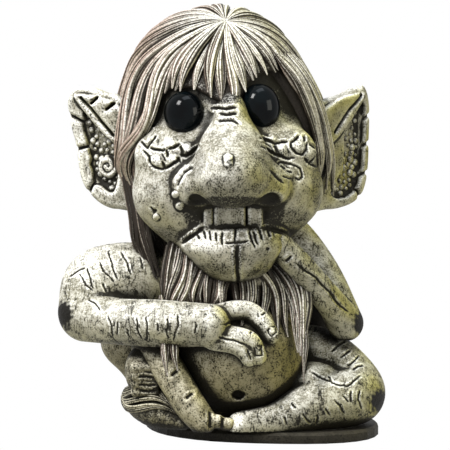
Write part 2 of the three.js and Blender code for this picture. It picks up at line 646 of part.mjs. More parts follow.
function beardForm(grow) {
  const locks = beardLocks.map(([rootX, bendX, bendZ, tipX, tipZ]) => {
    const rootZ = beardRoot.at[2] + 5 + 0.25 * Math.abs(rootX - 7);
    const stations = [
      [rootX, -33, rootZ, BEARD_LOCK_RADIUS],
      [bendX, hang(bendX, bendZ), bendZ, BEARD_LOCK_RADIUS * 1.15],
      [tipX, hang(tipX, tipZ), tipZ, BEARD_LOCK_RADIUS * 0.3],
    ];
    return bar(stations, { grow, edges: 5, steps: 2, flat: 0.7, outward: () => v(0, -1, 0.3) });
  });
  return join(ball(beardRoot, { grow, sectors: 10 }), locks);
}

// Tail: round the right hip to a tuft beside the crossed shin

function tailForm(grow) {
  const tail = [
    [-6, 40, 7, TAIL_RADIUS],
    [-28, 30, 7, TAIL_RADIUS],
    [-39, 10, 7.5, TAIL_RADIUS],
    [-39.5, -12, 8, TAIL_RADIUS],
    [-37, -27, 9, TUFT_RADIUS * 0.9],
    [-29, -38, 7.5, TUFT_RADIUS],
    [-19, -46, 4, TUFT_RADIUS * 0.5],
  ];
  return bar(tail, { grow, edges: 8, steps: 2 });
}

// Plinth: a flat closed outline, longer under the left knee

function plinthForm() {
  const outline = [
    [-0.5, 0.3], [-0.47, 0], [-0.38, -0.24], [-0.2, -0.42], [0.06, -0.5], [0.3, -0.49], [0.45, -0.36],
    [0.5, -0.1], [0.42, 0.2], [0.2, 0.42], [-0.12, 0.5], [-0.4, 0.45],
  ].map(([u, w]) => new THREE.Vector2(17 + u * PLINTH_WIDTH, -5 + w * PLINTH_DEPTH));
  const edge = new THREE.SplineCurve([...outline, outline[0]]).getPoints(32).slice(0, -1);
  const slab = new THREE.ExtrudeGeometry(new THREE.Shape(edge), {
    depth: PLINTH_THICK - PLINTH_BEVEL,
    bevelThickness: PLINTH_BEVEL,
    bevelSize: PLINTH_BEVEL,
    bevelOffset: -PLINTH_BEVEL,
    bevelSegments: 1,
  });
  const whole = solid(slab.translate(0, 0, -PLINTH_THICK - GLUE_GAP));
  const flat = -PLINTH_THICK - GLUE_GAP;
  return cut(whole, block([-BEYOND, -BEYOND, flat - 10], [BEYOND, BEYOND, flat]));
}

// Pins inside the joints of the neck and the arms

const pins = {
  neck_pin: [v(2, 3, HEAD_HEIGHT - 40), v(0, 0, 1), PIN_LENGTH * 1.5],
  arm_pin_right: [v(...outFrom(shoulderRight, -9, -1, -1)), v(-1, 0, 0), PIN_LENGTH],
  arm_pin_left: [v(...outFrom(shoulderLeft, 5, -2, -3)), v(1, -0.4, -0.6), PIN_LENGTH],
};
const pinForm = (name, grow = 0) => pin(...pins[name], PIN_DIAMETER, grow);

// Fitting: every casting is cut by the ones that were set before it, swelled by the glue line

const forms = {
  body: trunkForm,
  head: headForm,
  leg_right: legRightForm,
  leg_left: legLeftForm,
  foot_left: footLeftForm,
  arm_right: armRightForm,
  arm_left: armLeftForm,
  ear_right: (grow) => earForm(ears[0], grow),
  ear_left: (grow) => earForm(ears[1], grow),
  hair: hairForm,
  beard: beardForm,
  tail: tailForm,
};
const swelled = {};
const roomFor = (name) => (swelled[name] ??= forms[name](GLUE_GAP));
const belowCastings = block([-BEYOND, -BEYOND, -BEYOND], [BEYOND, BEYOND, 0]);
const fitted = (name, ...before) =>
  largest(cut(forms[name](0), belowCastings, before.map(roomFor)));
const balls = (ovals, sectors) => ovals.map((one) => ball(one, { sectors }));

const pegRooms = ears.map((ear) => earPeg(ear, GLUE_GAP));
const pinRooms = Object.keys(pins).map((name) => pinForm(name, GLUE_GAP));
const eyeRooms = eyes.map((eye) => eyeForm(eye, GLUE_GAP));

const openFace = cut(fitted("head", "body"), balls([mouth], 12), balls(nostrils, 8));
const head = cut(join(openFace, teeth(), balls(warts, 7)), eyeRooms, pegRooms, pinRooms);

const underHair = ["body", "head", "arm_right", "arm_left", "ear_right", "ear_left"];

const solids = {
  plinth: plinthForm(),
  body: cut(fitted("body"), balls([navel], 8), pinRooms),
  head: largest(head),
  eye_right: eyeForm(eyes[0]),
  eye_left: eyeForm(eyes[1]),
  leg_right: fitted("leg_right", "body"),
  leg_left: fitted("leg_left", "body", "leg_right"),
  foot_left: fitted("foot_left", "body", "leg_right"),
  arm_right: cut(fitted("arm_right", "body", "head", "leg_right", "foot_left"), pinRooms),
  arm_left: cut(fitted("arm_left", "body", "head", "leg_left"), pinRooms),
  ear_right: join(fitted("ear_right", "head", "arm_right"), earPeg(ears[0])),
  ear_left: join(fitted("ear_left", "head", "arm_left"), earPeg(ears[1])),
  hair: largest(cut(fitted("hair", ...underHair), pegRooms)),
  beard: fitted("beard", "body", "head", "arm_right", "arm_left", "leg_left", "hair"),
  tail: fitted("tail", "body", "leg_right", "foot_left"),
  ...Object.fromEntries(Object.keys(pins).map((name) => [name, pinForm(name)])),
};

// Materials

const finishes = {
  resin: { color: 0x948d70, roughness: 0.78, metalness: 0 },
  hair: { color: 0x8b7f68, roughness: 0.8, metalness: 0 },
  glass: { color: 0x0b1012, roughness: 0.06, metalness: 0 },
  steel: { color: 0x9a9c9e, roughness: 0.35, metalness: 0.9 },
};
const finishOf = (name) => {
  if (name.startsWith("eye")) return finishes.glass;
  if (name.includes("pin_") || name === "neck_pin") return finishes.steel;
  return ["hair", "beard", "tail"].includes(name) ? finishes.hair : finishes.resin;
};

const figure = new THREE.Group();
for (const [name, piece] of Object.entries(solids)) {
  const { vertProperties, triVerts, numProp } = piece.getMesh();
  const geometry = new THREE.BufferGeometry();
  geometry.setAttribute("position", new THREE.BufferAttribute(new Float32Array(vertProperties), numProp));
  geometry.setIndex(new THREE.BufferAttribute(new Uint32Array(triVerts), 1));
  geometry.computeVertexNormals();
  const mesh = new THREE.Mesh(geometry, new THREE.MeshStandardMaterial(finishOf(name)));
  mesh.name = name;
  figure.add(mesh);
}

const box = new THREE.Box3().setFromObject(figure);
const middle = box.getCenter(v(0, 0, 0));
figure.position.set(-middle.x, -middle.y, -box.min.z);
export default figure;
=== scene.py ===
# %% [markdown]
# # A seated troll in stone-look cast resin
# The figure is one of those shelf or garden ornaments that look like carved stone and are cast
# in resin. Its maker sculpts clay, casts it, floods the casting with a dark wash, wipes the wash
# off the high places and drags a nearly dry pale brush over them. This notebook goes the same way:
# clay, carving, ears, glass eyes, locks of hair, and then the photographer's table. Only the recipe
# of wash and dry brush comes before the carving, because each piece gets its finish as it is made.

# %% The frame that every piece is set in
import bpy
import math
import numpy as np
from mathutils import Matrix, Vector


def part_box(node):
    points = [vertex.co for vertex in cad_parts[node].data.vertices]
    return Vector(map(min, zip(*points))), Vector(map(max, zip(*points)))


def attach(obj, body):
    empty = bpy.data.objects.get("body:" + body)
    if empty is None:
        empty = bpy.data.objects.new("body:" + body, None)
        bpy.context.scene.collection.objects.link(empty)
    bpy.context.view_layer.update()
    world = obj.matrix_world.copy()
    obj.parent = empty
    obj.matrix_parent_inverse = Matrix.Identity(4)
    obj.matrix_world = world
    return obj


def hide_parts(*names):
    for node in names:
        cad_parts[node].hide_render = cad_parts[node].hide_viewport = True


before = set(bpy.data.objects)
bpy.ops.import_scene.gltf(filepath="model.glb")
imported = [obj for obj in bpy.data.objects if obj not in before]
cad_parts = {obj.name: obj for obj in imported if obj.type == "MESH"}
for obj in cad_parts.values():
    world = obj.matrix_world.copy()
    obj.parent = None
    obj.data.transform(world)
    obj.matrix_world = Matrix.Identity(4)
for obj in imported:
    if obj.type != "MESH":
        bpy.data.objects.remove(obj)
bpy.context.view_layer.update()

# %% [markdown]
# The clay is worked in millimetres, with the plinth's top at height 0 and the troll looking along
# -Y. The steel pin in the neck stands at a known place in the clay, so the pin's box in the frame
# says how far the clay has to be moved to sit in the frame.

# %% From the sculptor's bench to the frame
MM = 0.001
NECK_PIN_MIDDLE = np.array([2.0, 3.0, 96.0])


def frame_middle(node):
    low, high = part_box(node)
    return (np.array(low) + np.array(high)) / 2 / MM


bench_shift = frame_middle("neck_pin") - NECK_PIN_MIDDLE
print("bench to frame, mm:", bench_shift.round(2))

# %% [markdown]
# The photographer stands in front, a little above, with a long lens. One pixel of the 450 pixel
# picture is 0.46 mm at the belly. Creases are drawn on the picture plane, as a sculptor does who
# works from a photograph, so a place on the clay has to be turned into a place on that plane.

# %% The picture plane
MM_PER_PIXEL = 0.46
PICTURE_SIDE = 450
MIDDLE_COLUMN = 224
GROUND_ROW = 445
LOOK_DOWN = math.radians(6)
BELLY_FRONT = -52
PLINTH_TOP = 5.35


def on_picture(p):
    """Column and row of clay points in the 450 pixel frame."""
    rise = p[:, 2] + PLINTH_TOP + math.tan(LOOK_DOWN) * (p[:, 1] - BELLY_FRONT)
    return np.stack([MIDDLE_COLUMN + p[:, 0] / MM_PER_PIXEL, GROUND_ROW - rise / MM_PER_PIXEL], axis=1)

# %% [markdown]
# ## Clay
# Rounded masses that melt into each other are easiest to write as distances: a function says how
# far each point is from the surface, negative inside. Metaballs would do the same, but they give
# no say in how far two masses melt together. An oval is a lump of clay and a bar is a rolled
# sausage along a curved path.

# %% Lumps and sausages
def lump(at, radii):
    """An oval of clay."""
    at, radii = np.array(at, float), np.array(radii, float)

    def field(p):
        q = (p - at) / radii
        near = np.linalg.norm(q, axis=1)
        slope = np.linalg.norm(q / radii, axis=1)
        return near * (near - 1) / np.maximum(slope, 1e-6)

    return field


def catmull_rom(a, b, c, d, t):
    """The smooth curve from b to c that comes from a and goes on to d."""
    squared, cubed = 2 * a - 5 * b + 4 * c - d, 3 * b - a - 3 * c + d
    return 0.5 * (2 * b + (c - a) * t + squared * t**2 + cubed * t**3)


def smooth_path(stations, steps):
    """Catmull-Rom points through the stations, with their radii."""
    s = np.array(stations, float)
    s = np.concatenate([[2 * s[0] - s[1]], s, [2 * s[-1] - s[-2]]])
    out = []
    for i in range(1, len(s) - 2):
        a, b, c, d = s[i - 1 : i + 3]
        for t in np.arange(steps) / steps:
            out.append(catmull_rom(a, b, c, d, t))
    return np.array(out + [s[-2]])


def from_stretch(q, a, b):
    """How far points are from the straight stretch a to b, and their share of the way along it."""
    along = b - a
    share = np.clip((q - a) @ along / max(along @ along, 1e-9), 0, 1)
    return np.linalg.norm(q - a - share[:, None] * along, axis=1), share


# Points further off a bar than this, in mm, only get a rough distance
BAR_REACH = 8.0


def unit(rows):
    """Each row drawn out or shortened to length 1."""
    return rows / np.maximum(np.linalg.norm(rows, axis=-1, keepdims=True), 1e-9)


def bar(stations, steps=4):
    """A rolled sausage through stations of x, y, z and radius."""
    path = smooth_path(stations, steps)
    low = (path[:, :3] - path[:, 3:]).min(axis=0)
    high = (path[:, :3] + path[:, 3:]).max(axis=0)

    def field(p):
        away = np.linalg.norm(np.maximum(np.maximum(low - p, p - high), 0), axis=1)
        out = away + 2.0
        close = away < BAR_REACH
        q = p[close]
        best = np.full(len(q), 1e3)
        for a, b in zip(path[:-1], path[1:]):
            gap, share = from_stretch(q, a[:3], b[:3])
            best = np.minimum(best, gap - (a[3] + share * (b[3] - a[3])))
        out[close] = best
        return out

    return field


def melt(a, b, reach):
    """Both distances as one form, blended where they are nearly equal."""
    h = np.maximum(reach - np.abs(a - b), 0) / reach
    return np.minimum(a, b) - h * h * reach / 4


def melted(reach, *fields):
    """All the forms melted into one."""

    def field(p):
        out = fields[0](p)
        for one in fields[1:]:
            out = melt(out, one(p), reach)
        return out

    return field


def hollowed(reach, form, *tools):
    """The form with the tools' forms scooped out."""

    def field(p):
        out = form(p)
        for one in tools:
            out = -melt(-out, one(p), reach)
        return out

    return field


print("a ball of 10 mm, from 15 mm away:", lump((0, 0, 0), (10, 10, 10))(np.array([[15.0, 0, 0]])))

# %% [markdown]
# Clay becomes a mesh by surface nets: space is cut into small cubes, each cube that the surface
# passes through gets one point, and neighbours are joined by four-sided faces. A coarse pass finds
# the cubes that matter, so only a thin skin of them is ever measured finely. Blender's own voxel
# remesh needs a mesh to begin with, and the clay is not one yet.

# %% Skin of the clay
CORNERS = np.array([[i, j, k] for i in (0, 1) for j in (0, 1) for k in (0, 1)])
CUBE_EDGES = [
    (a, b) for a in range(8) for b in range(a + 1, 8) if np.abs(CORNERS[a] - CORNERS[b]).sum() == 1
]
BLOCK = 4


def cell_grid(*sides):
    """The numbers of all cells of a box, one row for each cell."""
    return np.stack(np.meshgrid(*[np.arange(n) for n in sides], indexing="ij"), axis=-1).reshape(-1, 3)


# So many points are measured at a time, to spare memory
CHUNK = 400000


def measure(field, points):
    return np.concatenate([field(points[i : i + CHUNK]) for i in range(0, len(points), CHUNK)])


def sample_clay(field, low, high, size):
    """Distances on a grid, exact near the surface only."""
    low = np.array(low, float)
    blocks = np.ceil((np.array(high) - low) / (size * BLOCK)).astype(int) + 1
    block_middles = cell_grid(*blocks) * BLOCK + (BLOCK - 1) / 2
    rough = measure(field, low + size * block_middles).reshape(blocks)
    grid = np.sign(rough).astype(np.float32)
    for axis in range(3):
        grid = grid.repeat(BLOCK, axis=axis)
    near = np.argwhere(np.abs(rough) < size * BLOCK * 1.25)
    cells = (near[:, None, :] * BLOCK + cell_grid(BLOCK, BLOCK, BLOCK)[None]).reshape(-1, 3)
    grid[tuple(cells.T)] = measure(field, low + size * cells)
    return grid, low

# %% [markdown]
# The net itself: a cube's point is the mean of the places where the surface crosses its edges, and
# each crossed edge of the grid joins the four cubes round it by one face. Points placed so follow
# rounded clay more evenly than points on the edges would.

# %% Surface net
def surface_net(grid, low, size):
    """Points and four-sided faces of the surface where the grid of distances changes sign."""
    inside = grid < 0
    mixed = np.zeros(np.array(grid.shape) - 1, bool)
    first = inside[:-1, :-1, :-1]
    for dx, dy, dz in CORNERS[1:]:
        nx, ny, nz = mixed.shape
        mixed |= inside[dx : dx + nx, dy : dy + ny, dz : dz + nz] != first
    cells = np.argwhere(mixed)
    value = np.stack([grid[tuple((cells + corner).T)] for corner in CORNERS], axis=1)
    total, count = np.zeros((len(cells), 3)), np.zeros(len(cells))
    for a, b in CUBE_EDGES:
        crossed = (value[:, a] < 0) != (value[:, b] < 0)
        t = value[crossed, a] / (value[crossed, a] - value[crossed, b])
        total[crossed] += CORNERS[a] + t[:, None] * (CORNERS[b] - CORNERS[a])
        count[crossed] += 1
    points = low + size * (cells + total / count[:, None])
    number = -np.ones(mixed.shape, int)
    number[mixed] = np.arange(len(cells))
    quads = []
    for axis in range(3):
        u, w = [(1, 2), (2, 0), (0, 1)][axis]
        step = np.eye(3, dtype=int)
        ahead = np.roll(inside, -1, axis=axis)
        crossing = inside != ahead
        crossing[tuple(slice(-1, None) if i == axis else slice(None) for i in range(3))] = False
        at = np.argwhere(crossing)
        within = (at[:, u] > 0) & (at[:, w] > 0) & (at[:, u] < mixed.shape[u]) & (at[:, w] < mixed.shape[w])
        at = at[within]
        corners = [at - step[u] - step[w], at - step[w], at, at - step[u]]
        quad = np.stack([number[tuple(c.T)] for c in corners], axis=1)
        outward = inside[tuple(at.T)]
        quads.append(np.where(outward[:, None], quad, quad[:, ::-1]))
    quads = np.concatenate(quads)
    return points, quads[(quads >= 0).all(axis=1)]


def skin(field, low, high, size):
    """The clay between two corners as a mesh, from cubes of the given size."""
    grid, low = sample_clay(field, low, high, size)
    return surface_net(grid, low, size)


ball_points = skin(lump((0, 0, 0), (10, 10, 10)), (-12, -12, -12), (12, 12, 12), 1.0)[0]
print("test ball:", len(ball_points), "points, radius", np.linalg.norm(ball_points, axis=1).mean().round(2))

# %% [markdown]
# ## The masses of the figure
# Every mass has the place and size of the casting that it dresses. The trunk is hips, flank, back,
# chest and neck, with the round belly pressed on last and melted less, so that a crease stays
# round it.

# %% Trunk
BELLY_AT, BELLY_RADII = (7, -24.5, 32), (30, 30, 31)
trunk_masses = melted(
    9,
    lump((-5, 5, 19), (39, 36, 26)),
    lump((-16, 5, 35), (42, 25, 21.5)),
    lump((0, 13, 48), (35, 27, 40)),
    lump((3, -2, 60), (31, 25, 24)),
    lump((2, 3, 84), (19, 19, 15)),
    lump((22, 13, 54), (34, 16, 29)),
)
belly = lump(BELLY_AT, BELLY_RADII)
navel = lump((6.5, -50, 16.6), (2.8, 4.5, 2.4))
shoulder_right = bar([(-16, 2, 68, 13), (-38, -2, 67, 11)])
shoulder_left = bar([(18, 6, 88, 11), (34, 4, 83, 9)])


def trunk(p):
    return melt(melt(trunk_masses(p), belly(p), 2.5), melted(4, shoulder_right, shoulder_left)(p), 8)


body_clay = hollowed(1.5, trunk, navel)
print("front of the belly, mm:", BELLY_AT[1] - BELLY_RADII[1])

# %% [markdown]
# The head is a skull with a crown, two cheeks, a jaw and two bags, with sockets scooped under the
# brow. Nose, lips and mouth come last, and melt less, so that they keep their edges.

# %% Head, with sockets, bags, nose, lips and jaw
BROW = -41
SKULL = ((-1, 1, 128), (44, 44, 42))
CROWN = ((-4, 3, 147.5), (37, 35.5, 39.5))
skull = melted(9, lump(*SKULL), lump(*CROWN))
face = melted(
    9,
    skull,
    lump((-22, -26, 108.5), (20.5, 19.5, 20)),
    lump((26, -26, 109.5), (20, 19.5, 19.5)),
    lump((1.5, -20, 98), (32, 26, 25.5)),
    lump((-22.5, -30, 127), (18, 10, 11)),
    lump((25, -30, 129), (17, 10, 11)),
)
eye_middles = [frame_middle(node) - bench_shift for node in ("eye_right", "eye_left")]
sockets = [lump((x, BROW - 3, z + 5), (14.5, 10, 12)) for x, _, z in eye_middles]
nose = melted(
    8,
    lump((3.6, -38, 141), (8, 9, 15)),
    lump((3.7, -47, 129), (15.5, 14, 15.5)),
    lump((3.8, -56, 119), (18, 18, 15)),
    lump((-12.6, -46, 113.5), (10.5, 12, 9.8)),
    lump((20.2, -46, 113.5), (10.5, 12, 9.8)),
)
nostrils = [lump((-12, -56, 106.5), (5.5, 7, 4.6)), lump((20, -55.5, 106.8), (6.5, 7, 5))]
upper_lip = lump((4.5, -34, 102), (21, 12, 12))
lower_lip = melted(6, lump((4.5, -35.5, 85), (24, 18.5, 11.5)), lump((5, -34, 78), (17, 18, 11)))
mouth = lump((4.8, -51, 99.5), (19, 12, 6.5))


def head_clay(p):
    out = hollowed(5, face, *sockets)(p)
    out = melt(out, upper_lip(p), 5)
    out = melt(out, lower_lip(p), 5)
    out = melt(out, nose(p), 3.5)
    return hollowed(2, lambda q: out, mouth, *nostrils)(p)


print("eye middles on the bench, mm:", [middle.round(1).tolist() for middle in eye_middles])

# %% [markdown]
# Arms and fingers are sausages with a changing thickness. The right forearm and the fingers lie on
# the belly, so their places are found by going back from the front until the trunk is met.

# %% Arms
def trunk_front(x, z):
    """Where the front of the trunk lies at a place across and up."""
    y = np.linspace(-70, 10, 401)
    inside = trunk(np.stack([np.full_like(y, x), y, np.full_like(y, z)], axis=1)) < 0
    return y[np.argmax(inside)] if inside.any() else 10.0


def on_belly(x, z, radius):
    return (x, trunk_front(x, z) - radius * 0.75, z, radius)


def finger(*stations):
    """A sausage laid on the belly, by places across and up and a radius at each."""
    return bar([on_belly(*station) for station in stations])


upper_arm_right = melted(
    12,
    bar([(-26, -5, 67.5, 14.8), (-51, -9, 67.5, 14.8), (-61, -13, 64, 14.3), (-64.5, -20, 52, 12.8)], 8),
    lump((-43, -14, 60), (22, 13, 16.5)),
)
arm_right_clay = melted(
    1.6,
    upper_arm_right,
    bar([(-64, -22, 50.5, 12.4), (-50, -33, 49, 10.8), (-30, -46, 49.5, 11), on_belly(-7, 49.5, 9.8)], 8),
    finger((-5, 53, 5.1), (5, 55.5, 4.9), (12, 55, 4.6), (18, 50, 4.4), (21.5, 44.5, 4)),
    finger((-5, 45.5, 4.6), (6, 44.5, 4.6), (12.5, 42, 4.4), (15.8, 35.5, 3.9)),
    finger((-5, 42, 4.1), (5, 40.5, 4), (10, 37, 3.9), (11.5, 34.5, 3.7)),
)
arm_left_clay = melted(
    1.5,
    bar([(26, 6, 88, 11), (36.5, 2, 80, 9.2), (47, -6, 65.5, 8.8), (56.5, -15, 46, 8.6)], 6),
    bar([(56, -18, 48, 7.6), (46.5, -28, 61, 6.8), (35, -35, 75, 6.4), (25, -36, 85, 6.6)], 6),
)

# %% [markdown]
# The legs are crossed in front, the right shin over the left one, with the toes of both feet as
# short rolls. The tail comes round the right hip and swells into a tuft.

# %% Legs, feet and tail
leg_left_clay = melted(2.5, bar([
    (24, 6, 27, 18), (46, -6, 27, 15), (61, -20, 15, 14), (55, -32, 12, 13), (38, -40, 8.5, 11.6),
    (24, -46, 4, 8.5), (8, -50, 2, 7),
], 12), lump((41, -25, 18), (16, 15, 11)))
TOE_TIPS_RIGHT = [(-3, -55, 5.2, 3.2), (2.2, -54, 3.8, 2.9), (7, -53, 3, 2.6)]
toes_right = [bar([(x - 5, -51, z, 2.7), (x, y, z, radius)]) for x, y, z, radius in TOE_TIPS_RIGHT]
leg_right_clay = melted(
    1.5,
    bar([(-14, 2, 22, 16), (-30, -20, 33, 12), (-34, -30, 40, 9)], 6),
    bar([
        (-34, -30, 40, 9), (-28.5, -39, 32, 8), (-22, -46, 22, 7.6), (-15.5, -51, 12, 7.4),
        (-10, -53, 5, 6.5),
    ], 6),
    *toes_right,
)
TOES_LEFT = [(-40.5 + 0.4 * i, 28.5 - 3.9 * i) for i in range(4)]
toes_left = [bar([(-40.5, y, z, 2.7), (-31.5, y - 2, z, 2.4)]) for y, z in TOES_LEFT]
foot_left_clay = melted(1.2, lump((-37.5, -33, 26), (8.5, 10.5, 12)), *toes_left)
tail_clay = bar([
    (-6, 40, 7, 5.6), (-28, 30, 7, 5.6), (-39, 10, 7.5, 5.6), (-39.5, -12, 8, 5.6), (-37, -27, 9, 7.7),
    (-29, -38, 7.5, 8.6), (-19, -46, 4, 4.3),
])

# %% [markdown]
# The hair starts as a cap: the skull and crown again, a little larger, with a mass at the back.
# The beard starts as an oval under the chin.

# %% Hair cap and beard root
HAIR_THICK = 3.8
cap = melted(
    8,
    *[lump(at, np.array(radii) + HAIR_THICK) for at, radii in (SKULL, CROWN)],
    lump((-1, 15, 116), (42, 38, 40)),
)
beard_clay = lump((2, -25, 69), (25, 12.5, 10))

# %% [markdown]
# All masses with the boxes that they lie in. The wash and painted shade need them together, because
# they gather where an arm lies on the belly as much as in a single casting's own hollows.

# %% Whole figure, for the wash and painted shade
masses = {
    "body": (body_clay, (-62, -58, 0), (54, 44, 100)),
    "head": (head_clay, (-47, -78, 68), (48, 47, 190)),
    "arm_right": (arm_right_clay, (-80, -68, 30), (30, 20, 88)),
    "arm_left": (arm_left_clay, (12, -52, 38), (68, 20, 102)),
    "leg_left": (leg_left_clay, (2, -62, 0), (78, 28, 48)),
    "leg_right": (leg_right_clay, (-50, -64, 0), (14, 20, 52)),
    "foot_left": (foot_left_clay, (-50, -48, 10), (-26, -20, 42)),
    "tail": (tail_clay, (-50, -54, 0), (4, 48, 20)),
    "hair": (cap, (-52, -48, 78), (50, 56, 198)),
    "beard": (beard_clay, (-28, -42, 56), (30, -8, 84)),
}
print("masses:", list(masses))

# %% [markdown]
# ## Finish
# The casting comes out of the mould in one drab colour. A thin black-brown wash is flooded over
# it and wiped, so it stays in every crease, and a pale brush, nearly dry, then catches the high
# places. Moss-green is misted on from one side. Painted light goes over this: painted shade in
# hollows, under overhangs and between pieces, and painted highlights on what faces up and towards
# the softbox. The clay itself says where those places are: each point carries how hollow it lies,
# how sharp a ridge it is on, whether a tool has cut it, and how much painted shade (above 0) and
# painted highlight (below 0) it gets, with a few real dark spots. The steps are shader groups,
# which every resin material shares with its own numbers.

# %% Small helpers for shader trees
def set_inputs(tree, node, **sockets):
    """Sets a node's inputs: an output socket is linked and anything else is written in."""
    for name, value in sockets.items():
        socket = node.inputs[int(name[1:])] if name[0] == "i" and name[1:].isdigit() else node.inputs[name]
        if isinstance(value, bpy.types.NodeSocket):
            tree.links.new(value, socket)
        else:
            socket.default_value = value
    return node


def maths(tree, operation, a, b=0.0, c=0.0):
    node = tree.nodes.new("ShaderNodeMath")
    node.operation = operation
    set_inputs(tree, node, i0=a, i1=b)
    if operation == "MULTIPLY_ADD":
        set_inputs(tree, node, i2=c)
    return node.outputs[0]


def ramp(tree, value, low, high, start=0.0, end=1.0):
    """Turns low..high into start..end, and holds it there outside."""
    node = tree.nodes.new("ShaderNodeMapRange")
    node.interpolation_type = "SMOOTHSTEP"
    set_inputs(tree, node, i0=value, i1=low, i2=high, i3=start, i4=end)
    return node.outputs[0]


def blend(tree, factor, a, b, mode="MIX"):
    node = tree.nodes.new("ShaderNodeMix")
    node.data_type = "RGBA"
    node.blend_type = mode
    set_inputs(tree, node, i0=factor, i6=a, i7=b)
    return node.outputs[2]


def noise(tree, place, scale, detail=2.0, rough=0.5):
    node = tree.nodes.new("ShaderNodeTexNoise")
    set_inputs(tree, node, Vector=place, Scale=scale, Detail=detail, Roughness=rough)
    return node.outputs[0]


def carried(tree, name):
    node = tree.nodes.new("ShaderNodeAttribute")
    node.attribute_name = name
    return node.outputs["Fac"]


def group_tree(name, inputs, outputs):
    tree = bpy.data.node_groups.new(name, "ShaderNodeTree")
    for label, kind, default in inputs:
        socket = tree.interface.new_socket(label, in_out="INPUT", socket_type=kind)
        socket.default_value = default
    for label, kind in outputs:
        tree.interface.new_socket(label, in_out="OUTPUT", socket_type=kind)
    return tree, tree.nodes.new("NodeGroupInput").outputs, tree.nodes.new("NodeGroupOutput")


def place_on(tree):
    """The place on the piece, which patterns read, so that they stay on it wherever it goes."""
    return tree.nodes.new("ShaderNodeTexCoord").outputs["Object"]


def normal_parts(tree):
    parts = tree.nodes.new("ShaderNodeSeparateXYZ")
    set_inputs(tree, parts, Vector=tree.nodes.new("ShaderNodeTexCoord").outputs["Normal"])
    return parts.outputs


def new_material(name):
    """A material with its tree and its one shader."""
    material = bpy.data.materials.new(name)
    material.use_nodes = True
    return material, material.node_tree, material.node_tree.nodes["Principled BSDF"]


def stretch(tree, place, ways):
    node = tree.nodes.new("ShaderNodeVectorMath")
    node.operation = "MULTIPLY"
    return set_inputs(tree, node, i0=place, i1=ways).outputs[0]


def add_group(tree, group, **sockets):
    node = tree.nodes.new("ShaderNodeGroup")
    node.node_tree = group
    return set_inputs(tree, node, **sockets)


FLOAT, VECTOR = "NodeSocketFloat", "NodeSocketVector"

# %% [markdown]
# Wash with painted shade, dry brush with painted highlight, and moss come as shader groups that
# put out one mask each, and the stone's grain as one that puts out a normal. Wash and brush read the
# same grit as the grain does, so that dark pits are really pits. Painted textures would do it too,
# but would have to be painted again for each piece.

# %% Shared groups: where the wash and painted shade go, where the dry brush and painted highlights catch, and the surface itself
# How fine each pattern is, as the scale of its noise with the figure in metres
GRIT, PIT_SPACING, BROAD_GRAIN, HAIRLINES, PATCHES = 1250, 420, 330, 330, 230
DRAB_CLOUDS, MOSS_CLOUDS = 90, 55
# How far out of a hollow its shade reaches, in metres
SHADE_REACH = 0.008
GRAIN_DEPTH = 0.0004


def times(tree, a, b):
    return maths(tree, "MULTIPLY", a, b)


def plus(tree, a, b):
    return maths(tree, "ADD", a, b)


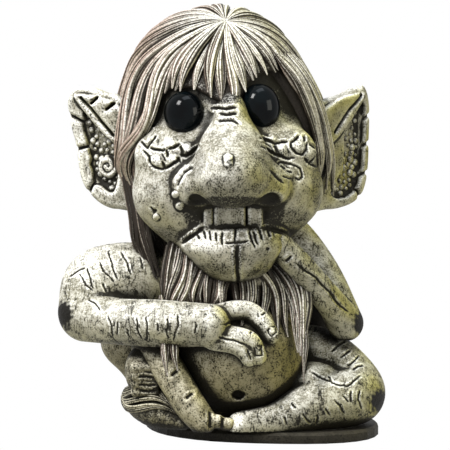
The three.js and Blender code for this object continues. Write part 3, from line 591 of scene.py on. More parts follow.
def wash_and_painted_light_group():
    """The first output says how much wash and painted shade a place gets, the second how much dry
    brush and painted highlight. The filler leaves a gritty skin: wash sits in its pits and the
    brush catches its peaks."""
    # First output: wash and painted shade; second output: dry brush and painted highlight
    tree, given, out = group_tree(
        "Wash and dry brush",
        [
            ("Hollow wash", FLOAT, 1.0), ("Ridge brush", FLOAT, 1.0), ("Grit", FLOAT, 1.0),
            ("Wrinkles", FLOAT, 0.0),
        ],
        [("Wash", FLOAT), ("Brush", FLOAT)],
    )
    where, normal = place_on(tree), normal_parts(tree)
    # Ambient occlusion: painted shade in narrow hollows and where pieces meet
    shade = tree.nodes.new("ShaderNodeAmbientOcclusion")
    shade.samples = 6
    set_inputs(tree, shade, Distance=SHADE_REACH)
    near_dark = ramp(tree, shade.outputs["AO"], 0.3, 0.92, 1.0, 0.0)
    hollow, crease, stain = (carried(tree, name) for name in ("hollow", "crease", "stain"))
    ridge = maths(tree, "SUBTRACT", carried(tree, "ridge"), carried(tree, "furrow"))
    patchy = noise(tree, where, PATCHES, 3.0, 0.6)
    grit = noise(tree, where, GRIT, 2.0, 0.6)
    # How far a face turns up and towards the softbox; painted light follows this
    lit = maths(tree, "MULTIPLY_ADD", normal["X"], -0.45, normal["Z"])
    # Painted shade in hollows, under overhangs and between pieces, from the hollow mark and ambient
    # occlusion; wash in grooves and in what a tool has cut
    deep = plus(tree, ramp(tree, hollow, 0.3, 0.95, 0.0, 0.75), near_dark)
    groove = ramp(tree, times(tree, ridge, -1.0), 0.02, 0.3)
    wash_and_shade = plus(tree, times(tree, deep, 0.85), times(tree, groove, 0.9))
    wash_and_shade = plus(tree, wash_and_shade, times(tree, ramp(tree, crease, 0.2, 0.85), 0.95))
    # Painted shade, with a few real dark spots, where the shade-and-highlight mark is above 0, broken up by
    # the grit
    shade_and_spot_dabs = maths(tree, "MAXIMUM", stain, 0.0)
    wash_and_shade = plus(tree, wash_and_shade, times(tree, shade_and_spot_dabs, ramp(tree, grit, 0.32, 0.58, 0.5, 1.0)))
    # Fine wrinkles: thin lines where a noise drawn out over the limb passes its middle value
    drawn_out = noise(tree, stretch(tree, where, (1.0, 0.22, 0.22)), HAIRLINES, 1.0)
    level = maths(tree, "ABSOLUTE", maths(tree, "SUBTRACT", drawn_out, 0.5))
    lines = times(tree, ramp(tree, level, 0.035, 0.004), ramp(tree, patchy, 0.42, 0.56))
    wash_and_shade = plus(tree, wash_and_shade, times(tree, lines, given["Wrinkles"]))
    # Wash in the pits of the grit, kept lighter, as painted light, on what faces up and towards the softbox
    pits = times(tree, ramp(tree, grit, 0.5, 0.66), ramp(tree, patchy, 0.36, 0.62, 0.2, 1.0))
    pits = plus(tree, pits, ramp(tree, patchy, 0.45, 0.7, 0.0, 0.3))
    pits = times(tree, pits, ramp(tree, lit, 0.1, 0.85, 1.0, 0.3))
    wash_and_shade = plus(tree, wash_and_shade, times(tree, pits, given["Grit"]))
    wash_and_shade = times(tree, wash_and_shade, given["Hollow wash"])
    set_inputs(tree, out, Wash=maths(tree, "MINIMUM", wash_and_shade, 0.97))
    # The dry brush on ridges, here and there on flat places, and on peaks; painted highlights where the
    # shade-and-highlight mark is below 0; all of it brighter, as painted light, on what faces up and
    # towards the softbox
    brush_and_highlight = ramp(tree, ridge, 0.05, 0.55, 0.0, 1.3)
    brush_and_highlight = plus(tree, brush_and_highlight, ramp(tree, patchy, 0.55, 0.4, 0.0, 0.55))
    brush_and_highlight = maths(tree, "SUBTRACT", brush_and_highlight, maths(tree, "MINIMUM", stain, 0.0))
    brush_and_highlight = times(tree, brush_and_highlight, ramp(tree, grit, 0.62, 0.45, 0.25, 1.0))
    brush_and_highlight = maths(tree, "MAXIMUM", brush_and_highlight, ramp(tree, grit, 0.5, 0.36, 0.0, 0.6))
    brush_and_highlight = times(tree, times(tree, brush_and_highlight, ramp(tree, lit, -0.3, 0.9, 0.1, 1.0)), given["Ridge brush"])
    set_inputs(tree, out, Brush=maths(tree, "MINIMUM", brush_and_highlight, 1.0))
    return tree


def moss_group():
    """Yellow-green mist from the figure's left and from below."""
    tree, given, out = group_tree("Moss mist", [("Amount", FLOAT, 1.0)], [("Moss", FLOAT)])
    place, normal = place_on(tree), normal_parts(tree)
    side = ramp(tree, normal["X"], -0.05, 0.9)
    under = ramp(tree, normal["Z"], 0.25, -0.8)
    cloud = ramp(tree, noise(tree, place, MOSS_CLOUDS, 2.0), 0.35, 0.65, 0.35, 1.0)
    moss = times(tree, maths(tree, "MAXIMUM", side, times(tree, under, 0.45)), cloud)
    set_inputs(tree, out, Moss=times(tree, moss, given["Amount"]))
    return tree


def grain_group():
    """Grain of the stone filler, with pits, as a normal. The grit is the same that the wash reads."""
    tree, given, out = group_tree("Stone grain", [("Depth", FLOAT, GRAIN_DEPTH)], [("Normal", VECTOR)])
    place = place_on(tree)
    grit = noise(tree, place, GRIT, 2.0, 0.6)
    broad = noise(tree, place, BROAD_GRAIN, 4.0, 0.6)
    pits = tree.nodes.new("ShaderNodeTexVoronoi")
    set_inputs(tree, pits, Vector=place, Scale=PIT_SPACING)
    height = plus(tree, times(tree, grit, -1.0), broad)
    height = plus(tree, height, ramp(tree, pits.outputs["Distance"], 0.05, 0.3, -0.35, 0.0))
    bump = tree.nodes.new("ShaderNodeBump")
    set_inputs(tree, bump, Strength=0.8, Distance=given["Depth"], Height=height)
    set_inputs(tree, out, Normal=bump.outputs["Normal"])
    return tree


wash_and_painted_light_tree, moss_tree, grain_tree = wash_and_painted_light_group(), moss_group(), grain_group()
print("shader groups:", [tree.name for tree in (wash_and_painted_light_tree, moss_tree, grain_tree)])

# %% [markdown]
# One resin is cast in all moulds, and only the tones change: skin, limbs with fine wrinkles, a
# darker copy for the low parts as painted shade, paler hair, and the plinth, left nearly black as
# painted shade. So one function makes all of them.

# %% Resin, in the tones of skin and hair
MOSS_GREEN = (0.9, 0.86, 0.38)
BLACK_BROWN = (0.006, 0.005, 0.003)
UNDERCOAT = (0.012, 0.011, 0.009)


def resin(
    name, drab, pale, wash_and_shade_colour, hollow_wash=1.0, ridge_brush=1.0, moss_amount=1.0, grit=0.75,
    wrinkles=0.0, away=(1, 1, 1),
):
    """Wash and painted shade over moss over dry brush and painted highlight over the drab casting.
    away tints the side turned from the moss. The coat is dull, because a gloss would lie as a
    white haze over the dark wash."""
    material, tree, shader = new_material(name)
    place, normal = place_on(tree), normal_parts(tree)
    tones = add_group(tree, wash_and_painted_light_tree, **{
        "Hollow wash": hollow_wash, "Ridge brush": ridge_brush, "Grit": grit, "Wrinkles": wrinkles,
    })
    moss = add_group(tree, moss_tree, Amount=moss_amount).outputs["Moss"]
    cloudy = ramp(tree, noise(tree, place, DRAB_CLOUDS, 4.0, 0.6), 0.3, 0.7)
    colour = blend(tree, cloudy, (*[c * 0.7 for c in drab], 1), (*drab, 1))
    # Dry brush, and painted highlight on what faces the softbox
    colour = blend(tree, tones.outputs["Brush"], colour, (*pale, 1))
    colour = blend(tree, times(tree, moss, 0.9), colour, (*MOSS_GREEN, 1), "MULTIPLY")
    colour = blend(tree, ramp(tree, normal["X"], -0.15, -0.75), colour, (*away, 1), "MULTIPLY")
    colour = blend(tree, carried(tree, "worn"), colour, (*UNDERCOAT, 1))
    # Wash, and painted shade in hollows and between pieces
    colour = blend(tree, tones.outputs["Wash"], colour, (*wash_and_shade_colour, 1))
    grain = add_group(tree, grain_tree, Depth=GRAIN_DEPTH).outputs["Normal"]
    set_inputs(tree, shader, **{"Base Color": colour, "Normal": grain})
    set_inputs(tree, shader, **{"Roughness": 0.6, "Specular IOR Level": 0.12})
    return material


skin_resin = resin(
    "Skin resin", (0.32, 0.3, 0.225), (0.98, 0.96, 0.89), BLACK_BROWN, moss_amount=1.3, grit=0.85
)
limb_resin = resin(
    "Limb resin", (0.32, 0.3, 0.215), (0.98, 0.96, 0.88), BLACK_BROWN, moss_amount=1.3, grit=0.85,
    wrinkles=0.75,
)
# A darker copy of the skin for the low parts: painted shade
shaded_resin = resin(
    "Shaded skin resin", (0.21, 0.185, 0.105), (0.82, 0.77, 0.6), BLACK_BROWN, hollow_wash=1.15,
    ridge_brush=0.8, grit=1.1,
)
hair_resin = resin(
    "Hair resin", (0.46, 0.42, 0.33), (1.0, 0.98, 0.91), (0.010, 0.007, 0.005), moss_amount=0.7, grit=0.45,
    away=(0.58, 0.47, 0.43),
)
# Nearly black: painted shade under the figure
plinth_resin = resin(
    "Plinth resin", (0.035, 0.031, 0.022), (0.3, 0.27, 0.2), BLACK_BROWN, ridge_brush=0.12, moss_amount=0.5
)
resins = (skin_resin, limb_resin, shaded_resin, hair_resin, plinth_resin)
print("materials:", [material.name for material in resins])

# %% [markdown]
# ## Carving
# A sculptor cuts creases into firm clay with a loop or a needle, and the tool throws up a low
# burr on each side. Here a crease is a line drawn on the picture plane: each point of the clay
# near it, and facing the sculptor, is pushed in along its own normal, and its neighbours a little
# out. Pushing points keeps the cut exactly as deep over a nose as over a cheek, which a cutter
# mesh would not.

# %% Normals, neighbours and the marks that the wash reads
def vertex_normals(points, quads):
    across = np.cross(points[quads[:, 2]] - points[quads[:, 0]], points[quads[:, 3]] - points[quads[:, 1]])
    ways = [np.bincount(quads.ravel(), np.repeat(across[:, k], 4), len(points)) for k in range(3)]
    return unit(np.stack(ways, axis=1))


def relaxed(values, quads, rounds):
    """Each point drawn half way to its neighbours' mean, so many times."""
    pairs = np.sort(np.concatenate([quads[:, [i, (i + 1) % 4]] for i in range(4)]), axis=1)
    a, b = np.unique(pairs, axis=0).T
    count = np.maximum(np.bincount(a, minlength=len(values)) + np.bincount(b, minlength=len(values)), 1)
    for _ in range(rounds):
        sums = [
            np.bincount(a, values[b, k], len(values)) + np.bincount(b, values[a, k], len(values))
            for k in range(values.shape[1])
        ]
        values = 0.5 * values + 0.5 * np.stack(sums, axis=1) / count[:, None]
    return values


# Ridges show where a point stands out from its neighbours, evened out for so many rounds
NEAR_ROUNDS, FAR_ROUNDS = 10, 50


def ridges(points, quads, size):
    """1 on a sharp ridge, -1 in a sharp groove, 0 where the clay is flat."""
    normals = vertex_normals(points, quads)
    near = relaxed(points, quads, NEAR_ROUNDS)
    far = relaxed(near, quads, FAR_ROUNDS)
    near_out = ((points - near) * normals).sum(axis=1) / size**2
    far_out = ((points - far) * normals).sum(axis=1) / size**2
    return np.clip(near_out * 1.2 + far_out * 0.12, -1, 1)

# %% [markdown]
# Wash gathers, and painted shade is laid, where there is little room in front of the surface: in
# hollows, under overhangs, between pieces and near the plinth. The room is measured once, on a
# coarse grid round the whole figure, and then looked up at a few distances in front of each point.
# Blender could bake this as ambient occlusion, but a grid is quicker and needs no texture.

# %% How hollow each place lies, from one coarse grid of the whole figure
OPEN_STEP = 2.0
OPEN_MARGIN = 12
OPEN_LOW = np.array([-84.0, -84.0, -8.0])
OPEN_SHAPE = (84, 72, 106)
MOST_OPEN = 18.0


def open_space():
    """How far each cell of the grid is from the nearest mass or the plinth, in mm."""
    grid = np.full(OPEN_SHAPE, MOST_OPEN)
    for field, low, high in masses.values():
        first = np.floor((np.array(low) - OPEN_MARGIN - OPEN_LOW) / OPEN_STEP)
        last = np.ceil((np.array(high) + OPEN_MARGIN - OPEN_LOW) / OPEN_STEP)
        first, last = (np.clip(corner, 0, OPEN_SHAPE).astype(int) for corner in (first, last))
        axes = [OPEN_LOW[k] + OPEN_STEP * np.arange(first[k], last[k]) for k in range(3)]
        cells = np.stack(np.meshgrid(*axes, indexing="ij"), axis=-1)
        part = tuple(slice(first[k], last[k]) for k in range(3))
        grid[part] = np.minimum(grid[part], measure(field, cells.reshape(-1, 3)).reshape(cells.shape[:3]))
    heights = OPEN_LOW[2] + OPEN_STEP * np.arange(OPEN_SHAPE[2]) + PLINTH_TOP
    return np.minimum(grid, heights)


def look_up(grid, points):
    """The grid's value at any points, blended between the eight cells around each."""
    at = np.clip((points - OPEN_LOW) / OPEN_STEP, 0, np.array(OPEN_SHAPE) - 1.001)
    cell = at.astype(int)
    share = at - cell
    out = np.zeros(len(points))
    for corner in CORNERS:
        weight = np.where(corner, share, 1 - share).prod(axis=1)
        out += weight * grid[tuple((cell + corner).T)]
    return out


room = open_space()


def hollowness(points, normals):
    """0 in the open, 1 where something is close in front of the surface at every reach."""
    shut = np.zeros(len(points))
    for reach, weight in ((3.0, 0.3), (7.0, 0.4), (14.0, 0.45)):
        free = look_up(room, points + normals * reach)
        shut += weight * np.clip(1 - np.maximum(free, 0) / reach, 0, 1)
    return np.clip(shut, 0, 1)


print("room round the figure, mm:", room.min().round(1), room.max().round(1))

# %% [markdown]
# Creases, warts and worn elbows are given by where they are seen in the picture. A crease runs out
# at both ends, as a cut does, and where two cuts meet the deeper one wins.

# %% Cuts along drawn lines, raised spots and worn patches
def along_line(picture, line):
    """How far each place is from a drawn line in mm, and its share of the way along."""
    line = np.array(line, float)
    spans = np.linalg.norm(np.diff(line, axis=0), axis=1)
    best, share, gone = np.full(len(picture), 1e3), np.zeros(len(picture)), 0.0
    for a, b, span in zip(line[:-1], line[1:], spans):
        gap, part = from_stretch(picture, a, b)
        closer = gap < best
        best = np.where(closer, gap, best)
        share = np.where(closer, (gone + part * span) / spans.sum(), share)
        gone += span
    return best * MM_PER_PIXEL, share


# Spots of a smaller radius than this stand up like beads, and larger ones swell like cushions
CUSHION = 2.7
# A cut's burr stands so many widths from its middle, and is this share of its depth high
BURR_AT, BURR_HIGH = 2.1, 0.35
# Clay faces the sculptor where its normal points further forward than this
TOWARDS = -0.12


def carve(points, quads, cuts, spots):
    """cuts are (depth, width, lines) in mm and pixels, spots (column, row, radius, height). The
    drawn lines are bent a little, because a hand doesn't cut straight."""
    normals = vertex_normals(points, quads)
    seen_at = on_picture(points)
    swapped = seen_at[:, ::-1]
    picture = seen_at + 0.35 * np.sin(swapped * 0.4 + (0, 2)) + 0.15 * np.sin(swapped * 1.3)
    facing = normals[:, 1] < TOWARDS
    push, mark = np.zeros(len(points)), np.zeros(len(points))
    for depth, width, lines in cuts:
        margin = 4 * width / MM_PER_PIXEL
        for line in lines:
            low, high = np.min(line, axis=0) - margin, np.max(line, axis=0) + margin
            near = np.flatnonzero(facing & (picture > low).all(axis=1) & (picture < high).all(axis=1))
            gap, share = along_line(picture[near], line)
            taper = np.clip(np.minimum(share, 1 - share) * 6 + 0.25, 0, 1)
            groove = np.exp(-((gap / width) ** 2)) * taper
            burr = np.exp(-(((gap - BURR_AT * width) / width) ** 2)) * taper
            push[near] = np.where(depth * groove > push[near], depth * groove, push[near])
            push[near] -= BURR_HIGH * depth * burr * (push[near] < 0.2 * depth)
            mark[near] = np.maximum(mark[near], groove)
    for column, row, radius, height in spots:
        gap = np.linalg.norm(seen_at - (column, row), axis=1) * MM_PER_PIXEL / radius
        roundness = 0.5 if radius < CUSHION else 1.5
        push -= np.where(facing, height * np.clip(1 - gap**2, 0, 1) ** roundness, 0)
    return points - normals * push[:, None], mark


def worn_patch(points, patches):
    """1 where the finish is rubbed off, in ragged ovals: column, row, radius, squeeze across."""
    picture = on_picture(points)
    out = np.zeros(len(points))
    for column, row, radius, squeeze in patches:
        gap = np.hypot((picture[:, 0] - column) * squeeze, picture[:, 1] - row) / radius
        ragged = 0.12 * np.sin(points[:, 2] * 2.1 + points[:, 1] * 1.3) + 0.1 * np.sin(points[:, 0] * 3.3)
        out = np.maximum(out, np.clip((1.15 + ragged - gap) * 3, 0, 1))
    return out

# %% [markdown]
# Each sculpted skin becomes one mesh that takes the place of its casting and rides with the
# figure. Its marks travel as attributes on the points, which is where the shader groups find them.

# %% From points to a piece that rides with the figure
def ride_along(name, mesh, node):
    """Sets a mesh in the frame, in place of the casting that it dresses."""
    piece = bpy.data.objects.new(name, mesh)
    bpy.context.scene.collection.objects.link(piece)
    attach(piece, "root")
    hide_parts(node)
    print(f"{name}: {len(mesh.vertices)} points, {len(mesh.loops) - 2 * len(mesh.polygons)} triangles")


def set_marks(mesh, marks):
    """Each mark is a number for every point of the mesh."""
    for label, values in marks.items():
        mesh.attributes.new(label, "FLOAT", "POINT").data.foreach_set("value", values.astype(np.float32))


def make_piece(name, points, quads, marks, material, node):
    """Points on the bench in mm become a mesh in the frame, with its marks as attributes."""
    mesh = bpy.data.meshes.new(name)
    mesh.vertices.add(len(points))
    mesh.vertices.foreach_set("co", ((points + bench_shift) * MM).astype(np.float32).ravel())
    mesh.loops.add(quads.size)
    mesh.loops.foreach_set("vertex_index", quads.astype(np.int32).ravel())
    mesh.polygons.add(len(quads))
    mesh.polygons.foreach_set("loop_start", np.arange(0, quads.size, 4, dtype=np.int32))
    mesh.update(calc_edges=True)
    mesh.shade_smooth()
    set_marks(mesh, marks)
    mesh.materials.append(material)
    ride_along(name, mesh, node)


# A quick export is worked twice as coarsely
COARSER = 1.0


def lighten_hollows(points, hollow, lightenings):
    """Wash and painted shade are made lighter in some hollow places: each is a middle, radii and the share
    kept.
    """
    for at, radii, kept in lightenings:
        inside = np.clip(1.3 - np.linalg.norm((points - at) / radii, axis=1), 0, 1)
        hollow = hollow * (1 - (1 - kept) * np.clip(inside * 3, 0, 1))
    return hollow


def painted_light_and_stains(points, normals, stains):
    """Painted shade, with a few real dark spots, above 0, and painted highlight below 0: column, row, half
    sizes, amount.
    """
    picture = on_picture(points)
    out = np.zeros(len(points))
    for column, row, half_wide, half_high, amount in stains:
        gap = np.hypot((picture[:, 0] - column) / half_wide, (picture[:, 1] - row) / half_high)
        dab = amount * np.clip((1.25 - gap) * 2, 0, 1)
        out = np.where(np.abs(dab) > np.abs(out), dab, out)
    return out * (normals[:, 1] < 0.3)


def model(name, mass, size, material, node, cuts=(), spots=(), patches=(), lightenings=(), stains=()):
    """From clay to a finished piece: skin, carving, and the marks that wash, dry brush and painted light go
    by.
    """
    field, low, high = mass
    size = size * COARSER
    points, quads = skin(field, low, high, size)
    points = relaxed(points, quads, 1)
    points, mark = carve(points, quads, cuts, spots)
    normals = vertex_normals(points, quads)
    # The hollow mark feeds wash and painted shade; the last mark holds painted shade above 0, painted
    # highlight below 0, and a few real dark spots
    marks = {
        "hollow": lighten_hollows(points, hollowness(points, normals), lightenings),
        "ridge": ridges(points, quads, size),
        "crease": mark,
        "worn": worn_patch(points, patches),
        "stain": painted_light_and_stains(points, normals, stains),
    }
    make_piece(name, points, quads, marks, material, node)


def dress(node, size, material, **work):
    """A sculpted skin over one casting, from the mass of the same name."""
    model(f"{node}_sculpt", masses[node], size, material, node, **work)

# %% [markdown]
# ## Head
# The head is one casting. Its face carries nearly everything that the eye goes to: the great nose
# with a wart on its tip, scale-like folds under the eyes, three creases across the bridge, slab
# teeth under the upper lip, a row of small ones set in the lower lip, and a cleft chin. The lines
# are drawn in pixels of the picture.

# %% Teeth, and the lines on the face
def block_tooth(x, z, half_x, half_z, front):
    """A rounded block, 16 mm deep from y = front backwards."""

    def field(p):
        across, deep, up = np.abs(p[:, 0] - x), np.abs(p[:, 1] - front - 8), np.abs(p[:, 2] - z)
        q = np.stack([across - half_x, deep - 8, up - half_z], axis=1) + 1
        outside = np.linalg.norm(np.maximum(q, 0), axis=1)
        return outside + np.minimum(q.max(axis=1), 0) - 1

    return field


upper_teeth = [
    block_tooth(2.7, 98.6, 7.2, 6.2, -46.2), block_tooth(-7.2, 98.8, 2.2, 5.6, -45.4),
    block_tooth(14.4, 98.6, 3.6, 5.8, -45.4),
]
lower_teeth = [
    block_tooth(2.3, 91.0, 2.3, 2.3, -50.2), block_tooth(8.6, 91.2, 2.4, 2.5, -50),
    block_tooth(-3.2, 90.6, 1.7, 2.0, -49.6), block_tooth(14.2, 90.6, 1.5, 2.4, -48.6),
]


# Behind this depth the cap covers the head
HEAD_BACK = 22


def head_with_teeth(p):
    out = head_clay(p)
    for tooth in upper_teeth:
        out = melt(out, tooth(p), 0.8)
    for tooth in lower_teeth:
        out = melt(out, tooth(p), 2.0)
    return np.maximum(out, p[:, 1] - HEAD_BACK)


EYE_BAGS = [
    [(141, 141), (147, 147), (152, 142), (155, 136)],
    [(150, 147), (155, 149.5), (163, 149.5), (165, 148)], [(168, 148.5), (174, 147.5), (180, 143)],
    [(180, 154), (186, 156), (191, 153), (199, 145)],
    [(151, 163), (155, 167.5), (161, 168.5), (170, 166), (179, 160)], [(163, 161), (165, 168)],
    [(178, 157), (180, 161)], [(145, 127), (154, 124)], [(143, 150), (149, 156), (151, 163)],
    [(166, 149), (168, 156)], [(181, 145), (183, 153)],
    [(260, 137), (266, 140), (276, 143), (288, 141)], [(291, 142), (296, 139), (299, 135)],
    [(262, 146), (270, 151), (280, 156), (286, 158), (294, 157)],
    [(291, 141), (292, 147), (296, 153), (302, 154), (307, 148), (308, 141)],
    [(310, 143), (316, 148), (318, 152), (313, 160), (309, 164)], [(305, 157), (311, 164), (316, 166)],
    [(304, 135), (305, 140)], [(275, 144), (277, 152)],
]
FACE_FOLDS = [
    [(191, 167), (184, 172), (178, 181), (176, 186)], [(271, 170), (276, 175), (283, 183)],
    [(183, 243), (197, 232), (203, 228)], [(285, 234), (275, 230), (264, 228)],
    [(237, 245), (237, 262), (238, 283)],
]
BRIDGE = [
    [(212, 107), (224, 108), (236, 107)], [(220, 113), (228, 114), (237, 113)],
    [(218, 121), (226, 119.5), (232, 120), (238, 123)],
]
SQUIGGLES = [
    [(277, 166), (280, 162), (290, 163), (300, 168), (303, 176), (298, 181)], [(280, 166), (284, 169)],
    [(286, 171), (291, 172)], [(296, 178), (300, 180)], [(283, 176), (290, 178)],
    [(151, 207), (154, 212)], [(196, 233), (200, 239)], [(203, 231), (206, 239)],
    [(209, 231), (211, 240)], [(215, 232), (217, 241)],
]
LOWER_GAPS = [
    [(235, 231), (235, 245)], [(225, 243), (236, 243), (248, 241)], [(222, 233), (222, 245)],
    [(249, 232), (255, 248)], [(253, 231), (258, 245)], [(258, 228), (263, 240)],
    [(267, 230), (270, 237)],
]
# The face is worked finer than the rest of the head, and the two lap a millimetre behind the cheeks
FACE_DEPTH = -6


def behind_cheeks(p):
    return np.maximum(head_with_teeth(p), FACE_DEPTH - 1 - p[:, 1])


def before_cheeks(p):
    return np.maximum(head_with_teeth(p), p[:, 1] - FACE_DEPTH)


model("head_back", (behind_cheeks, (-47, -10, 66), (48, 24, 178)), 1.2, skin_resin, "head")
# Lightenings lift wash and painted shade on the teeth, beside the eye at the figure's left and beside the
# bridge. Stains above 0 are painted shade in the sockets under the fringe, under the nose, round the mouth
# and teeth, on the nose and along the jaw, with a real dark spot on the wart; those below 0 are painted
# highlights on the bridge, the eye bags and the chin.
model(
    "head_sculpt", (before_cheeks, (-47, -78, 66), (48, -4, 178)), 0.6, skin_resin, "head",
    cuts=[
        (1.3, 0.5, EYE_BAGS), (1.5, 0.75, FACE_FOLDS), (1.2, 0.6, BRIDGE), (0.7, 0.42, SQUIGGLES),
        (0.9, 0.5, LOWER_GAPS),
    ],
    lightenings=[
        ((3, -50, 98), (14, 8, 8), 0.45), ((24, -34, 130), (20, 14, 8), 0.7),
        ((-9, -37, 143), (8, 12, 14), 0.35),
    ],
    stains=[
        (152, 106, 12, 18, 1.3), (186, 88, 26, 10, 1.3), (222, 93, 26, 10, 1.1), (262, 78, 28, 12, 1.4),
        (292, 94, 14, 22, 1.1), (205, 122, 7, 12, -0.35), (232, 189, 40, 12, 0.45),
        (234, 202, 44, 6, 1.1), (193, 213, 9, 14, 1.25), (274, 212, 11, 17, 1.4),
        (168, 235, 22, 7, 0.5), (212, 270, 26, 6, 0.6), (262, 274, 20, 7, 0.6), (293, 222, 20, 13, 0.6),
        (317, 185, 5, 26, 0.6), (238, 254, 7, 16, 0.7), (262, 262, 14, 14, 0.35),
        (236, 228, 36, 3, 0.8), (262, 170, 14, 22, 0.3), (196, 160, 9, 18, 0.35),
        (230, 163, 3.2, 4.5, 0.75), (168, 152, 24, 13, -0.5), (206, 250, 12, 10, -0.7),
        (290, 148, 20, 12, -0.4), (240, 170, 16, 10, 0.25),
    ],
    spots=[
        (228, 158.5, 2.3, 0.9), (228.5, 163, 2.2, 0.8), (175.5, 194, 1.7, 1.3), (180, 205.5, 2.1, 1.5),
        (156, 217, 1.6, 1.0), (154, 211, 1.3, -1.0), (268, 249, 1.0, -0.9), (271, 238, 1.0, 0.4),
        (151, 142, 3.4, 1.0), (170, 142, 3.6, 0.8), (157, 160, 3.8, 1.1), (172, 159, 3.6, 0.9),
        (188, 149, 3.6, 1.0), (272, 139, 3.2, 0.7), (281, 150, 3.6, 0.9), (299, 147, 3.8, 1.0),
        (312, 153, 3.0, 0.9), (290, 171, 3.8, 0.6),
    ],
)

# %% [markdown]
# ## Trunk, arms and legs
# The skin hangs in short creases on the upper arm, forearm, thigh and shin, each a stroke of the
# loop tool. Elbows and knee are worn down to the black undercoat.

# %% Skin of the trunk
# Stains here are painted shade: under the belly, between the beard and the left arm, beside the right shin
# and under the right arm
dress(
    "body", 0.8, shaded_resin,
    cuts=[(0.8, 0.6, [[(233, 397), (239, 399), (245, 395)]])],
    stains=[
        (240, 418, 60, 16, 0.5), (330, 312, 26, 30, 0.95), (185, 385, 14, 40, 0.6), (148, 345, 24, 16, 0.7),
    ],
)

# %% Skin of the arms
ARM_CREASES = [
    [(68, 277), (75, 273), (84, 268)], [(78, 275), (84, 284), (92, 292)],
    [(86, 268), (89, 280), (92, 290)], [(98, 262), (103, 272), (113, 283)],
    [(107, 252), (111, 266), (116, 280)], [(120, 252), (126, 264), (130, 275)],
    [(88, 301), (95, 305), (99, 311)], [(102, 284), (105, 293)], [(139, 258), (142, 270)],
    [(108, 318), (111, 328), (112, 337)], [(117, 322), (117, 336)],
    [(137, 318), (137, 330), (142, 341)], [(146, 318), (147, 328), (147, 340)],
    [(168, 318), (167, 332), (168, 340)], [(178, 315), (178, 325), (173, 342)],
    [(127, 330), (129, 338)], [(157, 324), (158, 332)], [(196, 324), (195, 334)],
]
FINGER_LINES = [
    [(221, 325), (230, 323), (239, 322), (249, 327), (257, 332), (263, 342)],
    [(219, 338), (233, 341), (246, 345)],
    [(270, 327), (276, 327), (277, 333), (271, 337), (268, 332), (270, 327)], [(247, 351), (251, 361)],
    [(255, 346), (262, 346), (262, 356), (255, 356), (255, 346)], [(262, 316), (266, 313)],
    [(250, 334), (254, 331)],
]
# Stains below 0 are painted highlights on the shoulder and the top of the forearm; the one above 0 is
# painted shade under the forearm
dress(
    "arm_right", 0.6, limb_resin,
    cuts=[(0.5, 0.36, ARM_CREASES), (0.55, 0.4, FINGER_LINES)], patches=[(62, 316, 14, 1.5)],
    stains=[(98, 265, 34, 20, -0.5), (150, 313, 60, 8, -0.4), (140, 345, 60, 5, 0.5)],
)
PROP_CREASES = [
    [(296, 264), (317, 279), (330, 293), (342, 308), (349, 313)], [(338, 262), (345, 262)],
    [(348, 276), (357, 276)], [(285, 262), (292, 256)],
]
dress(
    "arm_left", 0.6, limb_resin,
    cuts=[(0.9, 0.55, PROP_CREASES)], patches=[(364, 326, 14, 1.5)],
)

# %% Skin of the legs, the left foot and the tail
LEG_CREASES = [
    [(333, 354), (340, 347), (347, 344)], [(349, 368), (355, 364), (360, 359)],
    [(353, 372), (359, 369), (365, 368)],
    [(311, 374), (325, 381), (340, 387), (348, 388), (356, 382), (362, 378)], [(342, 360), (352, 352)],
    [(303, 415), (306, 420), (311, 425)], [(335, 402), (341, 408), (345, 416)],
    [(344, 398), (349, 404)], [(326, 410), (330, 417)], [(361, 392), (359, 402), (363, 412)],
    [(352, 392), (351, 404)], [(318, 416), (317, 426)], [(284, 418), (287, 426)],
    [(333, 385), (330, 379)], [(296, 410), (292, 405)],
]
# The stain is painted shade along the bottom of the leg
dress(
    "leg_left", 0.65, limb_resin,
    cuts=[(0.6, 0.4, LEG_CREASES)], patches=[(381, 404, 12, 1.2)], stains=[(320, 420, 70, 9, 0.4)],
)
SHIN_CREASES = [
    [(210, 412), (210, 430)], [(223, 414), (222, 430)], [(177, 371), (171, 377)],
    [(193, 394), (186, 400)],
]
TOE_GAPS = [[(138, 379), (147, 378), (156, 380)], [(138, 387), (156, 387)], [(140, 393), (156, 393)]]
dress("leg_right", 0.65, shaded_resin, cuts=[(0.9, 0.6, SHIN_CREASES)])
# The stains on the foot and the tail are painted shade
dress("foot_left", 0.6, shaded_resin, cuts=[(0.9, 0.5, TOE_GAPS)], stains=[(142, 378, 22, 30, 0.4)])
dress("tail", 0.7, shaded_resin, stains=[(150, 415, 45, 30, 0.55)])

# %% [markdown]
# ## Ears
# Each ear is a leaf drawn in its own plane, thick in the rim and scooped out inside, with a fold
# over its upper edge, a curl at the bottom of the scoop, and cracks across the rim. It is clay in
# its own plane, and turned on to the head afterwards.

